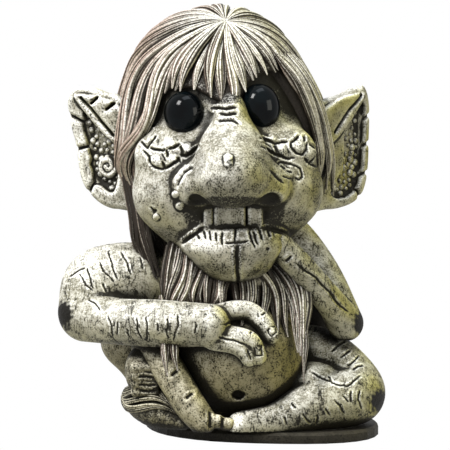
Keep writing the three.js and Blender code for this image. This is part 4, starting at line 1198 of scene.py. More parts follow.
# %% Leaf-shaped ears
EAR_WIDTH, EAR_HEIGHT, EAR_THICK, EAR_SCOOP = 34, 60, 8, 4.5
FOLD_EDGE = [(-0.1, 0.29), (0.08, 0.36), (0.3, 0.41), (0.64, 0.43), (0.7, 0.38), (0.23, 0.1), (-0.1, 0.04)]
EAR_SHAPES = {
    "ear_right": {
        "side": -1, "sweep": 25, "root": (-44, 0, 126),
        "edge": [
            (-0.26, 0.3), (0.07, 0.42), (0.3, 0.445), (0.55, 0.49), (0.77, 0.467), (0.87, 0.4),
            (0.86, 0.29), (0.81, 0.15), (0.74, 0.02), (0.71, -0.12), (0.66, -0.24), (0.57, -0.33),
            (0.36, -0.43), (0.1, -0.465), (-0.26, -0.4),
        ],
        "scoop": [
            (0.6, 0.3), (0.57, 0.16), (0.52, 0.03), (0.48, -0.08), (0.45, -0.2), (0.36, -0.28),
            (0.16, -0.33), (0.08, -0.18), (0.12, -0.02), (0.2, 0.1), (0.42, 0.24),
        ],
        "plates": [
            [(0.9, 0.27), (0.72, 0.24), (0.6, 0.205), (0.52, 0.24)],
            [(0.6, 0.2), (0.58, 0.14), (0.53, 0.06), (0.53, 0.02)],
            [(0.53, 0.02), (0.68, 0.0), (0.8, -0.02)],
            [
                (0.53, 0.02), (0.46, -0.07), (0.49, -0.12), (0.44, -0.18), (0.44, -0.27),
                (0.3, -0.26), (0.2, -0.3),
            ],
            [(0.44, -0.26), (0.52, -0.33), (0.58, -0.36)],
            [(0.12, 0.12), (0.3, 0.22), (0.46, 0.32), (0.62, 0.4)],
            [(0.38, 0.4), (0.46, 0.36)],
            [(0.13, 0.36), (0.22, 0.32)],
        ],
    },
    "ear_left": {
        "side": 1, "sweep": 42, "root": (42, 0, 126),
        "edge": [
            (-0.26, 0.3), (0.07, 0.39), (0.35, 0.42), (0.56, 0.46), (0.74, 0.49), (0.84, 0.42),
            (0.88, 0.28), (0.87, 0.05), (0.86, -0.12), (0.82, -0.27), (0.72, -0.38), (0.5, -0.45),
            (0.1, -0.47), (-0.26, -0.4),
        ],
        "scoop": [
            (0.72, 0.36), (0.72, 0.2), (0.71, 0), (0.69, -0.2), (0.58, -0.33), (0.3, -0.39),
            (0.12, -0.34), (0.26, -0.22), (0.36, -0.08), (0.38, 0.1), (0.5, 0.24),
        ],
        "plates": [
            [(0.94, 0.25), (0.8, 0.24), (0.72, 0.2)],
            [(0.94, 0.01), (0.8, 0.03), (0.72, 0.0)],
            [(0.9, -0.22), (0.78, -0.2), (0.68, -0.22)],
            [(0.73, 0.32), (0.73, 0.16), (0.71, -0.05), (0.68, -0.2), (0.58, -0.32), (0.4, -0.37)],
            [(0.14, 0.14), (0.4, 0.3), (0.66, 0.41)],
            [(0.62, -0.34), (0.7, -0.42)],
        ],
    },
}


def closed_curve(stations, steps):
    """The smooth outline through stations given as shares of the ear's width and height."""
    s = np.array(stations, float) * (EAR_WIDTH, EAR_HEIGHT)
    a, b, c, d = (np.roll(s, shift, axis=0)[:, None] for shift in (1, 0, -1, -2))
    t = (np.arange(steps) / steps)[None, :, None]
    return catmull_rom(a, b, c, d, t).reshape(-1, 2)


def outline_distance(q, edge):
    """Distance in the plane from a closed outline, negative inside."""
    best, inside = np.full(len(q), 1e3), np.zeros(len(q), bool)
    for a, b in zip(edge, np.roll(edge, -1, axis=0)):
        best = np.minimum(best, from_stretch(q, a, b)[0])
        spans = (a[1] <= q[:, 1]) != (b[1] <= q[:, 1])
        height = np.where(b[1] == a[1], 1e-9, b[1] - a[1])
        inside ^= spans & (q[:, 0] < a[0] + (q[:, 1] - a[1]) / height * (b[0] - a[0]))
    return np.where(inside, -1, 1) * best


def line_distance(q, line):
    """Distance in the plane from an open line."""
    return np.minimum.reduce([from_stretch(q, a, b)[0] for a, b in zip(line[:-1], line[1:])])


def cut_corner(a, b, reach):
    """Both forms at once, with the edge between them rounded."""
    return -melt(-a, -b, reach)


fold_edge = closed_curve(FOLD_EDGE, 4)
# A roll of clay wound up on itself at the bottom of the scoop
CURL_STATIONS = 9
turns = np.radians(200 + 62 * np.arange(CURL_STATIONS))
curl_reach = np.linspace(4.8, 1.2, CURL_STATIONS)
curl = bar(np.stack([
    0.27 * EAR_WIDTH + curl_reach * np.cos(turns), -0.13 * EAR_HEIGHT + curl_reach * np.sin(turns),
    np.full(CURL_STATIONS, EAR_THICK - EAR_SCOOP + 1.0), np.linspace(1.6, 1.2, CURL_STATIONS),
], axis=1), 3)


def ear_field(shape):
    """The ear's clay, at places given across, up and out of its plane."""
    edge_line, scoop_line = closed_curve(shape["edge"], 4), closed_curve(shape["scoop"], 4)
    plates = [np.array(one) * (EAR_WIDTH, EAR_HEIGHT) for one in shape["plates"]]

    def field(p):
        flat, out = p[:, :2], p[:, 2]
        edge, scoop, fold = (outline_distance(flat, one) for one in (edge_line, scoop_line, fold_edge))
        slab = cut_corner(edge, np.abs(out - EAR_THICK / 2) - EAR_THICK / 2, 4.0)
        bowl = cut_corner(scoop, EAR_THICK - EAR_SCOOP - out, 2.5)
        leaf = cut_corner(slab, -bowl, 1.6)
        flap = cut_corner(fold, np.abs(out - EAR_THICK + 1) - 3.0, 2.0)
        leaf = melt(melt(leaf, flap, 1.2), curl(p), 0.8)
        cracks = np.minimum.reduce([line_distance(flat, one) for one in plates]) - 0.6
        return cut_corner(leaf, -np.maximum(cracks, np.abs(out - EAR_THICK) - 2.6), 1.6)

    return field


def ear_turn(side, sweep):
    """Rows are the ear's across, up and out directions on the bench."""
    angle = side * math.radians(sweep)
    across = [side * math.cos(angle), side * math.sin(angle), 0]
    return np.array([across, [0, 0, 1], [math.sin(angle), -math.cos(angle), 0]])


def ear(name):
    shape = EAR_SHAPES[name]
    side = shape["side"]
    size = 0.5 * COARSER
    points, quads = skin(ear_field(shape), (-10, -31, -2), (36, 33, 13), size)
    points = relaxed(points, quads, 1) @ ear_turn(side, shape["sweep"]) + shape["root"]
    if side < 0:
        quads = quads[:, ::-1]
    normals = vertex_normals(points, quads)
    # The hollow mark gives the ear wash and painted shade, the ridge mark dry brush and painted highlight
    marks = {"hollow": hollowness(points, normals), "ridge": ridges(points, quads, size)}
    make_piece(f"{name}_sculpt", points, quads, marks, skin_resin, name)


for name in EAR_SHAPES:
    ear(name)

# %% [markdown]
# What repeats, pebbles and locks, is grown by Geometry Nodes: a tree of nodes takes a simple base
# mesh and a few named numbers, and gives back the finished mesh with its material. The same tree
# then serves every ear or every layer of hair.

# %% Small helpers for geometry trees
def node_tree(name, inputs):
    """A geometry tree with a Geometry input and output, and named inputs of its own."""
    tree = bpy.data.node_groups.new(name, "GeometryNodeTree")
    tree.interface.new_socket("Geometry", in_out="INPUT", socket_type="NodeSocketGeometry")
    for label, kind, default in inputs:
        socket = tree.interface.new_socket(label, in_out="INPUT", socket_type=kind)
        if default is not None:
            socket.default_value = default
    tree.interface.new_socket("Geometry", in_out="OUTPUT", socket_type="NodeSocketGeometry")
    return tree, tree.nodes.new("NodeGroupInput").outputs, tree.nodes.new("NodeGroupOutput").inputs


def geometry_node(tree, kind, settings=None, **sockets):
    node = tree.nodes.new(kind)
    for name, value in (settings or {}).items():
        setattr(node, name, value)
    return set_inputs(tree, node, **sockets)


def mark_points(tree, geometry, label, value):
    """Stores a number on every point, for the wash, the dry brush and painted light to read."""
    return geometry_node(
        tree, "GeometryNodeStoreNamedAttribute", {"data_type": "FLOAT", "domain": "POINT"},
        Geometry=geometry, Name=label, Value=value,
    )


def give_material(tree, geometry, given, out):
    """The last step of each tree."""
    painted = geometry_node(tree, "GeometryNodeSetMaterial", Geometry=geometry, Material=given["Material"])
    tree.links.new(painted.outputs[0], out[0])


def grown(name, base, tree, values):
    """The mesh that a geometry tree grows from base, with the tree's named inputs set."""
    holder = bpy.data.objects.new(name, base)
    bpy.context.scene.collection.objects.link(holder)
    modifier = holder.modifiers.new("grow", "NODES")
    modifier.node_group = tree
    for item in tree.interface.items_tree:
        if item.item_type == "SOCKET" and item.in_out == "INPUT" and item.name in values:
            modifier[item.identifier] = values[item.name]
    evaluated = holder.evaluated_get(bpy.context.evaluated_depsgraph_get())
    mesh = bpy.data.meshes.new_from_object(evaluated)
    bpy.data.objects.remove(holder)
    return mesh

# %% [markdown]
# The scoop is packed with pebbles of clay, pressed in one by one. The tree scatters them on the
# scoop's floor no closer than a given distance, which is what fingers do.

# %% Pebbles in the ears
# Places tried in each square metre before the gap thins them out, and the pebbles' gap and radius
PEBBLES_TRIED = 900000.0
PEBBLE_GAP, PEBBLE_SIZE = 2.6 * MM, 1.35 * MM


def pebble_tree():
    tree, given, out = node_tree("Pebbles", [
        ("Spacing", "NodeSocketFloat", 0.002), ("Size", "NodeSocketFloat", 0.001),
        ("Seed", "NodeSocketInt", 1), ("Material", "NodeSocketMaterial", None),
    ])
    scatter = geometry_node(
        tree, "GeometryNodeDistributePointsOnFaces", {"distribute_method": "POISSON"},
        Mesh=given["Geometry"], Seed=given["Seed"],
        **{"Distance Min": given["Spacing"], "Density Max": PEBBLES_TRIED},
    )
    ball = geometry_node(tree, "GeometryNodeMeshIcoSphere", Radius=given["Size"], Subdivisions=3)
    sizes = geometry_node(
        tree, "FunctionNodeRandomValue", {"data_type": "FLOAT"}, i2=0.65, i3=1.35, Seed=given["Seed"],
    )
    place = geometry_node(
        tree, "GeometryNodeInstanceOnPoints", Points=scatter.outputs["Points"],
        Instance=ball.outputs["Mesh"], Rotation=scatter.outputs["Rotation"], Scale=sizes.outputs[1],
    )
    real = geometry_node(tree, "GeometryNodeRealizeInstances", Geometry=place.outputs[0])
    smooth = geometry_node(tree, "GeometryNodeSetShadeSmooth", i0=real.outputs[0])
    # Pebbles count as ridges, so they catch dry brush and painted highlight
    ridge_marked = mark_points(tree, smooth.outputs[0], "ridge", 0.5)
    give_material(tree, ridge_marked.outputs[0], given, out)
    return tree


pebble_nodes = pebble_tree()


def pebbles(name, seed):
    """Pebbles on the floor of one ear's scoop, which is a fan of faces round its middle."""
    shape = EAR_SHAPES[name]
    side = shape["side"]
    edge = closed_curve(shape["scoop"], 4)
    middle = edge.mean(axis=0)
    ring = middle + (edge - middle) * 0.93
    floor_height = EAR_THICK - EAR_SCOOP - 0.1
    flat = np.concatenate([ring, [middle]])
    flat = np.column_stack([flat, np.full(len(flat), floor_height)])
    corners = flat @ ear_turn(side, shape["sweep"]) + shape["root"] + bench_shift
    count = len(ring)
    fan = [(i, (i + 1) % count, count) for i in range(count)]
    base = bpy.data.meshes.new(f"{name}_scoop")
    base.from_pydata((corners * MM).tolist(), [], [face if side > 0 else face[::-1] for face in fan])
    mesh = grown(name, base, pebble_nodes, {
        "Spacing": PEBBLE_GAP, "Size": PEBBLE_SIZE, "Seed": seed, "Material": skin_resin,
    })
    ride_along(f"{name}_pebbles", mesh, name)


pebbles("ear_right", 3)
pebbles("ear_left", 8)

# %% [markdown]
# ## Eyes
# Black glass domes are bought in and set after the wash, so they stay bright. They are turned
# forms: a dome on a short girdle, a little taller than wide.

# %% Glass eyes
GLASS_CLOUDS = 120


def glass():
    """Nearly black, with a faint clouding, and smooth enough to mirror the lamps."""
    material, tree, shader = new_material("Black glass")
    depth = ramp(tree, noise(tree, place_on(tree), GLASS_CLOUDS, 2.0), 0.3, 0.7)
    tint = blend(tree, depth, (0.0008, 0.0012, 0.0016, 1), (0.002, 0.004, 0.005, 1))
    set_inputs(tree, shader, **{"Base Color": tint, "Roughness": 0.09, "IOR": 1.2})
    return material


black_glass = glass()
EYE_RADIUS, EYE_DOME, EYE_GIRDLE = 9.4, 8.2, 4.0
# How many times as tall as wide each dome is
EYE_TALL = {"eye_right": 1.1, "eye_left": 1.2}
EYE_TURN = math.radians(13)


def glass_eye(name, side):
    """Half an oval on a short girdle, turned about the way that it looks."""
    middle = frame_middle(name)
    angles = np.radians(np.arange(0, 90, 4.5))
    profile = [(EYE_RADIUS - 0.6, -EYE_GIRDLE), (EYE_RADIUS, -EYE_GIRDLE + 0.6)]
    profile += [(EYE_RADIUS * math.cos(a), EYE_DOME * math.sin(a)) for a in angles]
    around, rings = 64, len(profile)
    turn = side * EYE_TURN
    way = np.array([math.sin(turn), -math.cos(turn), 0])
    across = np.array([math.cos(turn), math.sin(turn), 0])
    girdle = middle - way * (EYE_DOME - EYE_GIRDLE) / 2
    upward = np.array([0, 0, EYE_TALL[name]])
    points = []
    for radius, out in profile:
        for a in 2 * np.pi * np.arange(around) / around:
            points.append(girdle + way * out + radius * (across * math.cos(a) + upward * math.sin(a)))
    back, tip = len(points), len(points) + 1
    points += [girdle - way * EYE_GIRDLE, girdle + way * EYE_DOME]
    faces = []
    for i in range(around):
        j = (i + 1) % around
        for k in range(0, (rings - 1) * around, around):
            faces.append((k + i, k + j, k + around + j, k + around + i))
        faces += [(back, j, i), (tip, (rings - 1) * around + i, (rings - 1) * around + j)]
    mesh = bpy.data.meshes.new(f"{name}_glass")
    mesh.from_pydata((np.array(points) * MM).tolist(), [], faces)
    mesh.shade_smooth()
    mesh.materials.append(black_glass)
    ride_along(f"{name}_glass", mesh, name)


glass_eye("eye_right", -1)
glass_eye("eye_left", 1)

# %% [markdown]
# ## Hair, beard and tuft
# The hair is a cap of clay with locks laid over it, from a parting above the forehead down over
# the skull. A lock is a flattened roll, drawn out to a point and combed with a few grooves. Its
# path follows the cap; Geometry Nodes sweeps a grooved section along each path, as thick as the
# path says.

# %% A tree that sweeps a combed section along paths
FURROW_MARK = 0.62


def lock_tree():
    tree, given, out = node_tree("Combed locks", [
        ("Grooves", "NodeSocketInt", 5), ("Groove depth", "NodeSocketFloat", 0.2),
        ("Material", "NodeSocketMaterial", None),
    ])
    thick = geometry_node(tree, "GeometryNodeInputNamedAttribute", {"data_type": "FLOAT"}, Name="thick")
    turn = geometry_node(tree, "GeometryNodeInputNamedAttribute", {"data_type": "FLOAT"}, Name="turn")
    paths = geometry_node(tree, "GeometryNodeMeshToCurve", Mesh=given["Geometry"])
    tilted = geometry_node(tree, "GeometryNodeSetCurveTilt", Curve=paths.outputs[0], Tilt=turn.outputs[0])
    inner = maths(tree, "SUBTRACT", 1.0, given["Groove depth"])
    section = geometry_node(tree, "GeometryNodeCurveStar", Points=given["Grooves"], i1=inner, i2=1.0)
    # The section's inner points are the comb's furrows, and the swept lock carries that as a mark
    place = geometry_node(tree, "GeometryNodeInputPosition").outputs[0]
    out_from_middle = geometry_node(tree, "ShaderNodeVectorMath", {"operation": "LENGTH"}, i0=place)
    furrow = geometry_node(
        tree, "ShaderNodeMapRange", i0=out_from_middle.outputs["Value"], i1=inner, i2=1.0,
        i3=FURROW_MARK, i4=-FURROW_MARK,
    )
    marked = mark_points(tree, section.outputs[0], "furrow", furrow.outputs[0])
    rounded = geometry_node(
        tree, "GeometryNodeCurveSplineType", {"spline_type": "CATMULL_ROM"}, Curve=marked.outputs[0],
    )
    fine = geometry_node(tree, "GeometryNodeSetSplineResolution", i0=rounded.outputs[0], Resolution=2)
    swept = geometry_node(
        tree, "GeometryNodeCurveToMesh", Curve=tilted.outputs[0], Scale=thick.outputs[0],
        **{"Profile Curve": fine.outputs[0], "Fill Caps": True},
    )
    smooth = geometry_node(tree, "GeometryNodeSetShadeSmooth", i0=swept.outputs[0])
    real = geometry_node(tree, "GeometryNodeRealizeInstances", Geometry=smooth.outputs[0])
    give_material(tree, real.outputs[0], given, out)
    return tree


lock_nodes = lock_tree()
draw = np.random.default_rng(7)


def locks(name, paths, depth, node, material=hair_resin):
    """paths are arrays on the bench of x, y, z, radius and how much painted shade the strand gets; a
    strand with little of it gets painted highlight instead.
    """
    base = bpy.data.meshes.new(f"{name}_paths")
    points = np.concatenate(paths)
    ends = np.cumsum([len(path) for path in paths])
    edges = [(i, i + 1) for i in range(len(points) - 1) if i + 1 not in ends]
    base.from_pydata(((points[:, :3] + bench_shift) * MM).tolist(), edges, [])
    turns = np.concatenate([np.full(len(path), draw.uniform(0, 6.28)) for path in paths])
    thick, dark = points[:, 3] * MM, points[:, 4]
    # The strand's darkness is painted shade through the hollow mark, and where it is low, painted highlight
    # through the ridge mark
    set_marks(base, {"thick": thick, "turn": turns, "hollow": dark, "ridge": 0.5 - dark})
    mesh = grown(name, base, lock_nodes, {"Grooves": 5, "Groove depth": depth, "Material": material})
    ride_along(name, mesh, node)


# A lock is arched by this share of its radius
RISE = 0.55


def bundle(middle, outward, radius, count, twist):
    """One lock: strands side by side along a middle line, arched, drawn together at the tip."""
    across = unit(np.cross(unit(np.gradient(middle, axis=0)), outward))
    share = np.linspace(0, 1, len(middle))
    spread = radius * np.clip(np.minimum(share * 6 + 0.45, (1 - share) * 2.6 + 0.1), 0, 1)
    strands = []
    for i in range(count):
        place = (i + 0.5) / count * 2 - 1
        slide = place + twist * np.sin(share * 5 + draw.uniform(0, 6)) / count
        height = RISE * radius * (1 - place**2) * np.clip((1 - share) * 4, 0.2, 1)
        path = middle + across * (slide * spread)[:, None] + outward * height[:, None]
        thick = spread / count * draw.uniform(1.1, 1.45)
        # Strands at the edges of a lock get painted shade, as if in the gap between locks, and middle ones
        # painted highlight, each with a random tone
        dark = np.full(len(path), 0.05 + 0.8 * place**2 + draw.uniform(-0.15, 0.35))
        strands.append(np.column_stack([path, np.maximum(thick, 0.28), dark]))
    return strands

# %% [markdown]
# The cap is cut open over the face along an outline drawn in the front view, which comes down to a
# fringe in the middle. It lies a little deeper than the locks and gets painted shade all over, so
# the gaps between the locks look deep.

# %% The cap, open over the face
FACE_EDGE = np.array([
    (-0.8, -2), (-0.82, -0.31), (-0.75, -0.03), (-0.57, 0.18), (-0.3, 0.21), (-0.16, 0.15),
    (0.02, 0.075), (0.16, 0.075), (0.27, 0.25), (0.45, 0.34), (0.62, 0.33), (0.8, 0.22), (0.95, -0.03),
    (1.02, -0.29), (1.02, -2),
]) * (44, 51) + (-1, 146.8)
HAIR_HEM = 92


def cap_clay(p):
    window = np.maximum(outline_distance(p[:, [0, 2]], FACE_EDGE), p[:, 1] + 20)
    return np.maximum(cut_corner(cap(p) + 0.8, -window, 2.0), HAIR_HEM - p[:, 2])


# The broad stain is painted shade over the cap, so the gaps between the locks look deep
model(
    "hair_sculpt", (cap_clay, (-52, -48, 88), (50, 56, 198)), 1.1, hair_resin, "hair",
    stains=[(225, 110, 120, 110, 1.1)],
)

# %% [markdown]
# The locks fall from the parting like meridians from a pole. Each swings a little from side to
# side, is drawn on to the cap by a ray from inside, and stops at the edge of the face or at the
# hem. A thick lower layer fills the cap, and a thin, looser one lies over it.

# %% Locks over the cap
CAP_MIDDLE = np.array([-1, 4, 132.0])
DEEP_INSIDE, FAR_OUTSIDE = 10.0, 90.0
PARTING = unit(np.array([0.03, -0.32, 0.94]))
PARTING_ACROSS = unit(np.cross([0, 1, 0], PARTING))
PARTING_AHEAD = np.cross(PARTING, PARTING_ACROSS)


def onto_cap(ways, raise_by):
    """Where rays from inside the cap leave it, raised or sunk a little."""
    near, far = np.full(len(ways), DEEP_INSIDE), np.full(len(ways), FAR_OUTSIDE)
    for _ in range(24):
        middle = (near + far) / 2
        out = cap(CAP_MIDDLE + ways * middle[:, None]) > raise_by
        near, far = np.where(out, near, middle), np.where(out, middle, far)
    return CAP_MIDDLE + ways * near[:, None]


# A lock's way down from the parting, in degrees, and its number of stations
LOCK_FALL, LOCK_STATIONS = (0.3, 165), 48


def cap_lock(azimuth, radius, lift, spare, count, sway):
    """One lock that falls from the parting over the cap, swaying, to the edge over the face."""
    fall = np.radians(np.linspace(*LOCK_FALL, LOCK_STATIONS))
    wave = fall * draw.uniform(4.2, 5.0) + 2.3 * azimuth + draw.uniform(-0.5, 0.5)
    wander = azimuth + sway * np.sin(wave) * np.sin(fall)
    sideways = np.cos(wander)[:, None] * PARTING_ACROSS + np.sin(wander)[:, None] * PARTING_AHEAD
    ways = np.cos(fall)[:, None] * PARTING + np.sin(fall)[:, None] * sideways
    path = onto_cap(ways, lift)
    open_face = (outline_distance(path[:, [0, 2]], FACE_EDGE) < -spare) & (path[:, 1] < -18)
    gone = np.flatnonzero(open_face | (path[:, 2] < HAIR_HEM + 2))
    last = max(gone[0] if len(gone) else len(path), 8)
    room_across = np.sin(fall[:last]) ** 0.7
    strands = bundle(path[:last], ways[:last], radius, count, twist=0.5)
    for strand in strands:
        strand[:, :3] = path[:last] + (strand[:, :3] - path[:last]) * room_across[:, None]
        strand[:, 3] *= 0.45 + 0.55 * room_across
    return strands


LOWER_LAYER = 34
UPPER_LAYER = 24
lower_layer, upper_layer = [], []
for i in range(LOWER_LAYER):
    azimuth = 2 * np.pi * (i + draw.uniform(-0.2, 0.2)) / LOWER_LAYER
    lower_layer += cap_lock(azimuth, draw.uniform(4.4, 5.2), -0.9, 1.0, 4, 0.11)
for i in range(UPPER_LAYER):
    azimuth = 2 * np.pi * (i + draw.uniform(-0.35, 0.35)) / UPPER_LAYER
    upper_layer += cap_lock(azimuth, draw.uniform(2.4, 3.7), 0.9, draw.uniform(0, 4), 2, 0.17)
locks("hair_under", lower_layer, 0.14, "hair")
locks("hair_over", upper_layer, 0.14, "hair")

# %% [markdown]
# Beside the face the hair hangs in two curtains, the one at the figure's right down to the arm.
# Each is a strip between two edges, filled with locks. The right one is made darker all over.

# %% Curtains beside the face, drawn between two edges
CURTAIN_STRANDS, RAGGED_HEM = 3, 1.5


def between(first, second, count, radius):
    """Locks that fill the strip between two edges, each of as many stations of x, y and z."""
    first, second = np.array(first, float), np.array(second, float)
    out = []
    for i in range(count):
        share = (i + draw.uniform(0.2, 0.8)) / count
        line = first + (second - first) * share
        line[-1] += draw.uniform(-RAGGED_HEM, RAGGED_HEM, 3)
        path = smooth_path(np.column_stack([line, np.full(len(line), 1.0)]), 7)[:, :3]
        sway = np.sin(np.linspace(0, draw.uniform(5, 9), len(path)) + draw.uniform(0, 6))
        outward = path - CAP_MIDDLE
        outward[:, 2] = 0
        outward = unit(outward)
        path += np.cross(outward, [0, 0, 1]) * (0.7 * sway)[:, None]
        out += bundle(path, outward, radius * draw.uniform(0.85, 1.2), CURTAIN_STRANDS, twist=0.6)
    return out


RIGHT_OUTER = [
    (-46, 2, 140), (-47.5, -4, 124), (-45, -8, 108), (-42, -14, 94), (-40, -18, 82), (-36.5, -22, 70),
]
RIGHT_INNER = [
    (-36, -20, 146), (-37, -21, 130), (-36.5, -21, 112), (-35, -22, 98), (-33, -24, 84), (-28, -27, 68),
]
LEFT_OUTER = [
    (30, -10, 172), (39, -12, 159), (45, -13, 146), (48.5, -12, 132), (50.5, -10, 118), (50, -8, 106),
]
LEFT_INNER = [
    (22, -24, 172), (32, -25, 161), (38, -24, 148), (41, -22, 136), (42.5, -20, 124), (42, -18, 112),
]
RIGHT_BEHIND_OUTER = [(-44, 10, 120), (-43, 6, 104), (-41, 0, 90), (-38, -6, 80), (-34, -10, 72)]
RIGHT_BEHIND_INNER = [(-38, -2, 118), (-34, -8, 104), (-30, -12, 92), (-26, -16, 82), (-20, -20, 72)]
# How much darker the right curtain and the beard are made, on top of each strand's painted shade
CURTAIN_DARKER, BEARD_DARKER = 0.8, 0.2
curtains = between(RIGHT_OUTER, RIGHT_INNER, 5, 3.0) + between(RIGHT_OUTER, RIGHT_INNER, 5, 2.2)
curtains += between(RIGHT_BEHIND_OUTER, RIGHT_BEHIND_INNER, 5, 3.4)
for strand in curtains:
    strand[:, 4] += CURTAIN_DARKER
curtains += between(LEFT_OUTER, LEFT_INNER, 4, 2.8) + between(LEFT_OUTER, LEFT_INNER, 4, 2.0)
locks("hair_curtains", curtains, 0.16, "hair")

# %% [markdown]
# The beard fans out from the jaw over the chest and on to the belly. Each lock runs from a root by
# a bend to a tip, and lies on the trunk. A long thin lock hangs at the left, and two end below the
# forearm.

# %% Beard under the chin
# How far forward the beard hangs at its top, how it comes forward from there down, and how much
# further back it lies at the figure's left
BEARD_TOP, BEARD_FRONT, BEARD_SLOPE, LEFT_BACK = 80, -33, 0.5, 8


def on_trunk(x, z, forward):
    """Just in front of the trunk, or further forward where the hair stands off it."""
    return min(trunk_front(x, z) - 1.0, forward)


def beard_lock(root, bend, tip, radius, strands):
    """A lock through three places across and up."""
    stations = []
    for x, z in (root, bend, tip):
        back = LEFT_BACK if x > 15 else 0
        forward = BEARD_FRONT - (BEARD_TOP - z) * BEARD_SLOPE + back
        stations.append((x, on_trunk(x, z, forward), z, 1.0))
    path = smooth_path(stations, 10)[:, :3]
    sway = np.sin(np.linspace(0, draw.uniform(4, 7), len(path)) + draw.uniform(0, 6))
    path[:, 0] += 0.9 * (sway * np.linspace(0, 1, len(path)))
    outward = np.tile([0, -0.95, 0.3], (len(path), 1))
    return bundle(path, outward, radius, strands, twist=0.6)


BEARD_ROOTS = [(-24, 87), (-13, 79), (0, 75), (12, 75), (18, 80), (23, 84)]
BEARD_BENDS = [(-29, 72), (-17, 66), (-2, 64), (15, 64), (30, 65), (38, 62)]
BEARD_TIPS = [(-32, 57), (-19, 54), (-4, 53), (18, 48), (33, 38), (40, 32)]


def beard_place(places, share):
    """A place at a share of the way along a row of places."""
    at = share * (len(places) - 1)
    i = min(int(at), len(places) - 2)
    a, b = np.array(places[i], float), np.array(places[i + 1], float)
    return a + (b - a) * (at - i)


beard = []
BEARD_LOCKS = 17
for i in range(BEARD_LOCKS):
    share = (i + draw.uniform(-0.3, 0.3) + 0.5) / BEARD_LOCKS
    share = np.clip(share, 0, 1)
    root, bend, tip = (beard_place(places, share) for places in (BEARD_ROOTS, BEARD_BENDS, BEARD_TIPS))
    bend = bend + draw.uniform(-1.0, 1.0, 2)
    tip = tip + draw.uniform(-3, 3, 2)
    beard += beard_lock(root, bend, tip, draw.uniform(2.8, 3.8), 3)
beard += beard_lock((30, 66), (37, 45), (37, 23), 1.6, 2)
beard += beard_lock((-29, 62), (-27, 42), (-26, 27), 2.0, 3)
beard += beard_lock((-24, 62), (-23, 42), (-22, 29), 1.7, 2)
for strand in beard:
    strand[:, 4] += BEARD_DARKER
dress("beard", 1.0, hair_resin)
locks("beard_locks", beard, 0.16, "beard")

# %% [markdown]
# The tail comes forward round the hip and ends in a tuft beside the shin, with curls laid on it.

# %% Tuft of the tail
TUFT_LINE = [
    (-40, -6, 9, 7), (-38, -20, 9.5, 8.2), (-34, -32, 9, 9), (-27, -41, 7.5, 8), (-19, -48, 4.5, 4),
]
TUFT_STRANDS = 15
CURL_POINTS = 26
# Each curl's middle as column and row, its reach in mm, and how far forward it lies
CURLS = [(163, 413, 2.6, -46.5), (171, 424, 1.8, -46.5), (155, 405, 1.7, -43)]


def tuft_strand(turn):
    """A strand along the tuft, at a turn about it from straight up towards the front."""
    path = smooth_path(TUFT_LINE, 8)
    ahead = unit(np.cross(unit(np.gradient(path[:, :3], axis=0)), [0, 0, 1]))
    share = np.linspace(0, 1, len(path))
    angle = turn + 0.5 * np.sin(share * 5 + 3 * turn)
    outward = np.cos(angle)[:, None] * [0, 0, 1] - np.sin(angle)[:, None] * ahead
    middle = path[:, :3] + outward * (path[:, 3] * 0.97)[:, None]
    middle[:, 2] = np.maximum(middle[:, 2], 1.2)
    return bundle(middle, outward, 1.9, 2, twist=0.4)


tuft = []
for i in range(TUFT_STRANDS):
    tuft += tuft_strand(math.radians(-70 + 190 * i / (TUFT_STRANDS - 1)))
for column, row, reach, y in CURLS:
    turns = np.radians(np.linspace(0, 520, CURL_POINTS))
    shrink = np.linspace(reach, 0.5, CURL_POINTS)
    height = (GROUND_ROW - row) * MM_PER_PIXEL - PLINTH_TOP - math.tan(LOOK_DOWN) * (y - BELLY_FRONT)
    curl_path = np.zeros((CURL_POINTS, 5))
    curl_path[:, 0] = (column - MIDDLE_COLUMN) * MM_PER_PIXEL + shrink * np.cos(turns)
    curl_path[:, 1] = y
    curl_path[:, 2] = height + shrink * np.sin(turns)
    curl_path[:, 3] = 0.75
    tuft.append(curl_path)
locks("tail_tuft", tuft, 0.16, "tail", material=shaded_resin)

# %% [markdown]
# ## Plinth and pins
# The plinth is cast flat and needs no sculpting, and the pins are plain steel inside the joints,
# so the castings that the frame already has stay as they are and only get their surfaces. The
# plinth is the darkest resin, nearly black, as painted shade under the figure.

# %% Surfaces of the castings that stay as they are
SCRATCHES = 2400


def brushed_steel():
    """Steel with fine scratches along its length."""
    material, tree, shader = new_material("Brushed steel")
    scratches = noise(tree, stretch(tree, place_on(tree), (1.0, 1.0, 0.05)), SCRATCHES, 3.0, 0.6)
    tint = blend(tree, ramp(tree, scratches, 0.3, 0.7), (0.42, 0.43, 0.44, 1), (0.62, 0.62, 0.6, 1))
    rough = ramp(tree, scratches, 0.3, 0.7, 0.28, 0.45)
    set_inputs(tree, shader, **{"Base Color": tint, "Roughness": rough, "Metallic": 1.0})
    return material


pin_steel = brushed_steel()
for node, material in {
    "plinth": plinth_resin, "neck_pin": pin_steel, "arm_pin_right": pin_steel, "arm_pin_left": pin_steel,
}.items():
    bpy.data.objects[node].material_slots[0].material = material
print("plinth and pins:", plinth_resin.name, pin_steel.name)

# %% [markdown]
# ## The photographer's table
# The figure stands on a pale floor that runs out of sight. The camera sees the floor and the world
# as plain white, so the picture gets its white ground, while both still shade and light the resin.

# %% Floor
floor_mesh = bpy.data.meshes.new("table_top")
FLOOR_REACH = 3.0
floor_corners = [(x * FLOOR_REACH, y * FLOOR_REACH, 0) for x, y in ((-1, -1), (1, -1), (1, 1), (-1, 1))]
floor_mesh.from_pydata(floor_corners, [], [(0, 1, 2, 3)])
floor = bpy.data.objects.new("table_top", floor_mesh)
bpy.context.scene.collection.objects.link(floor)


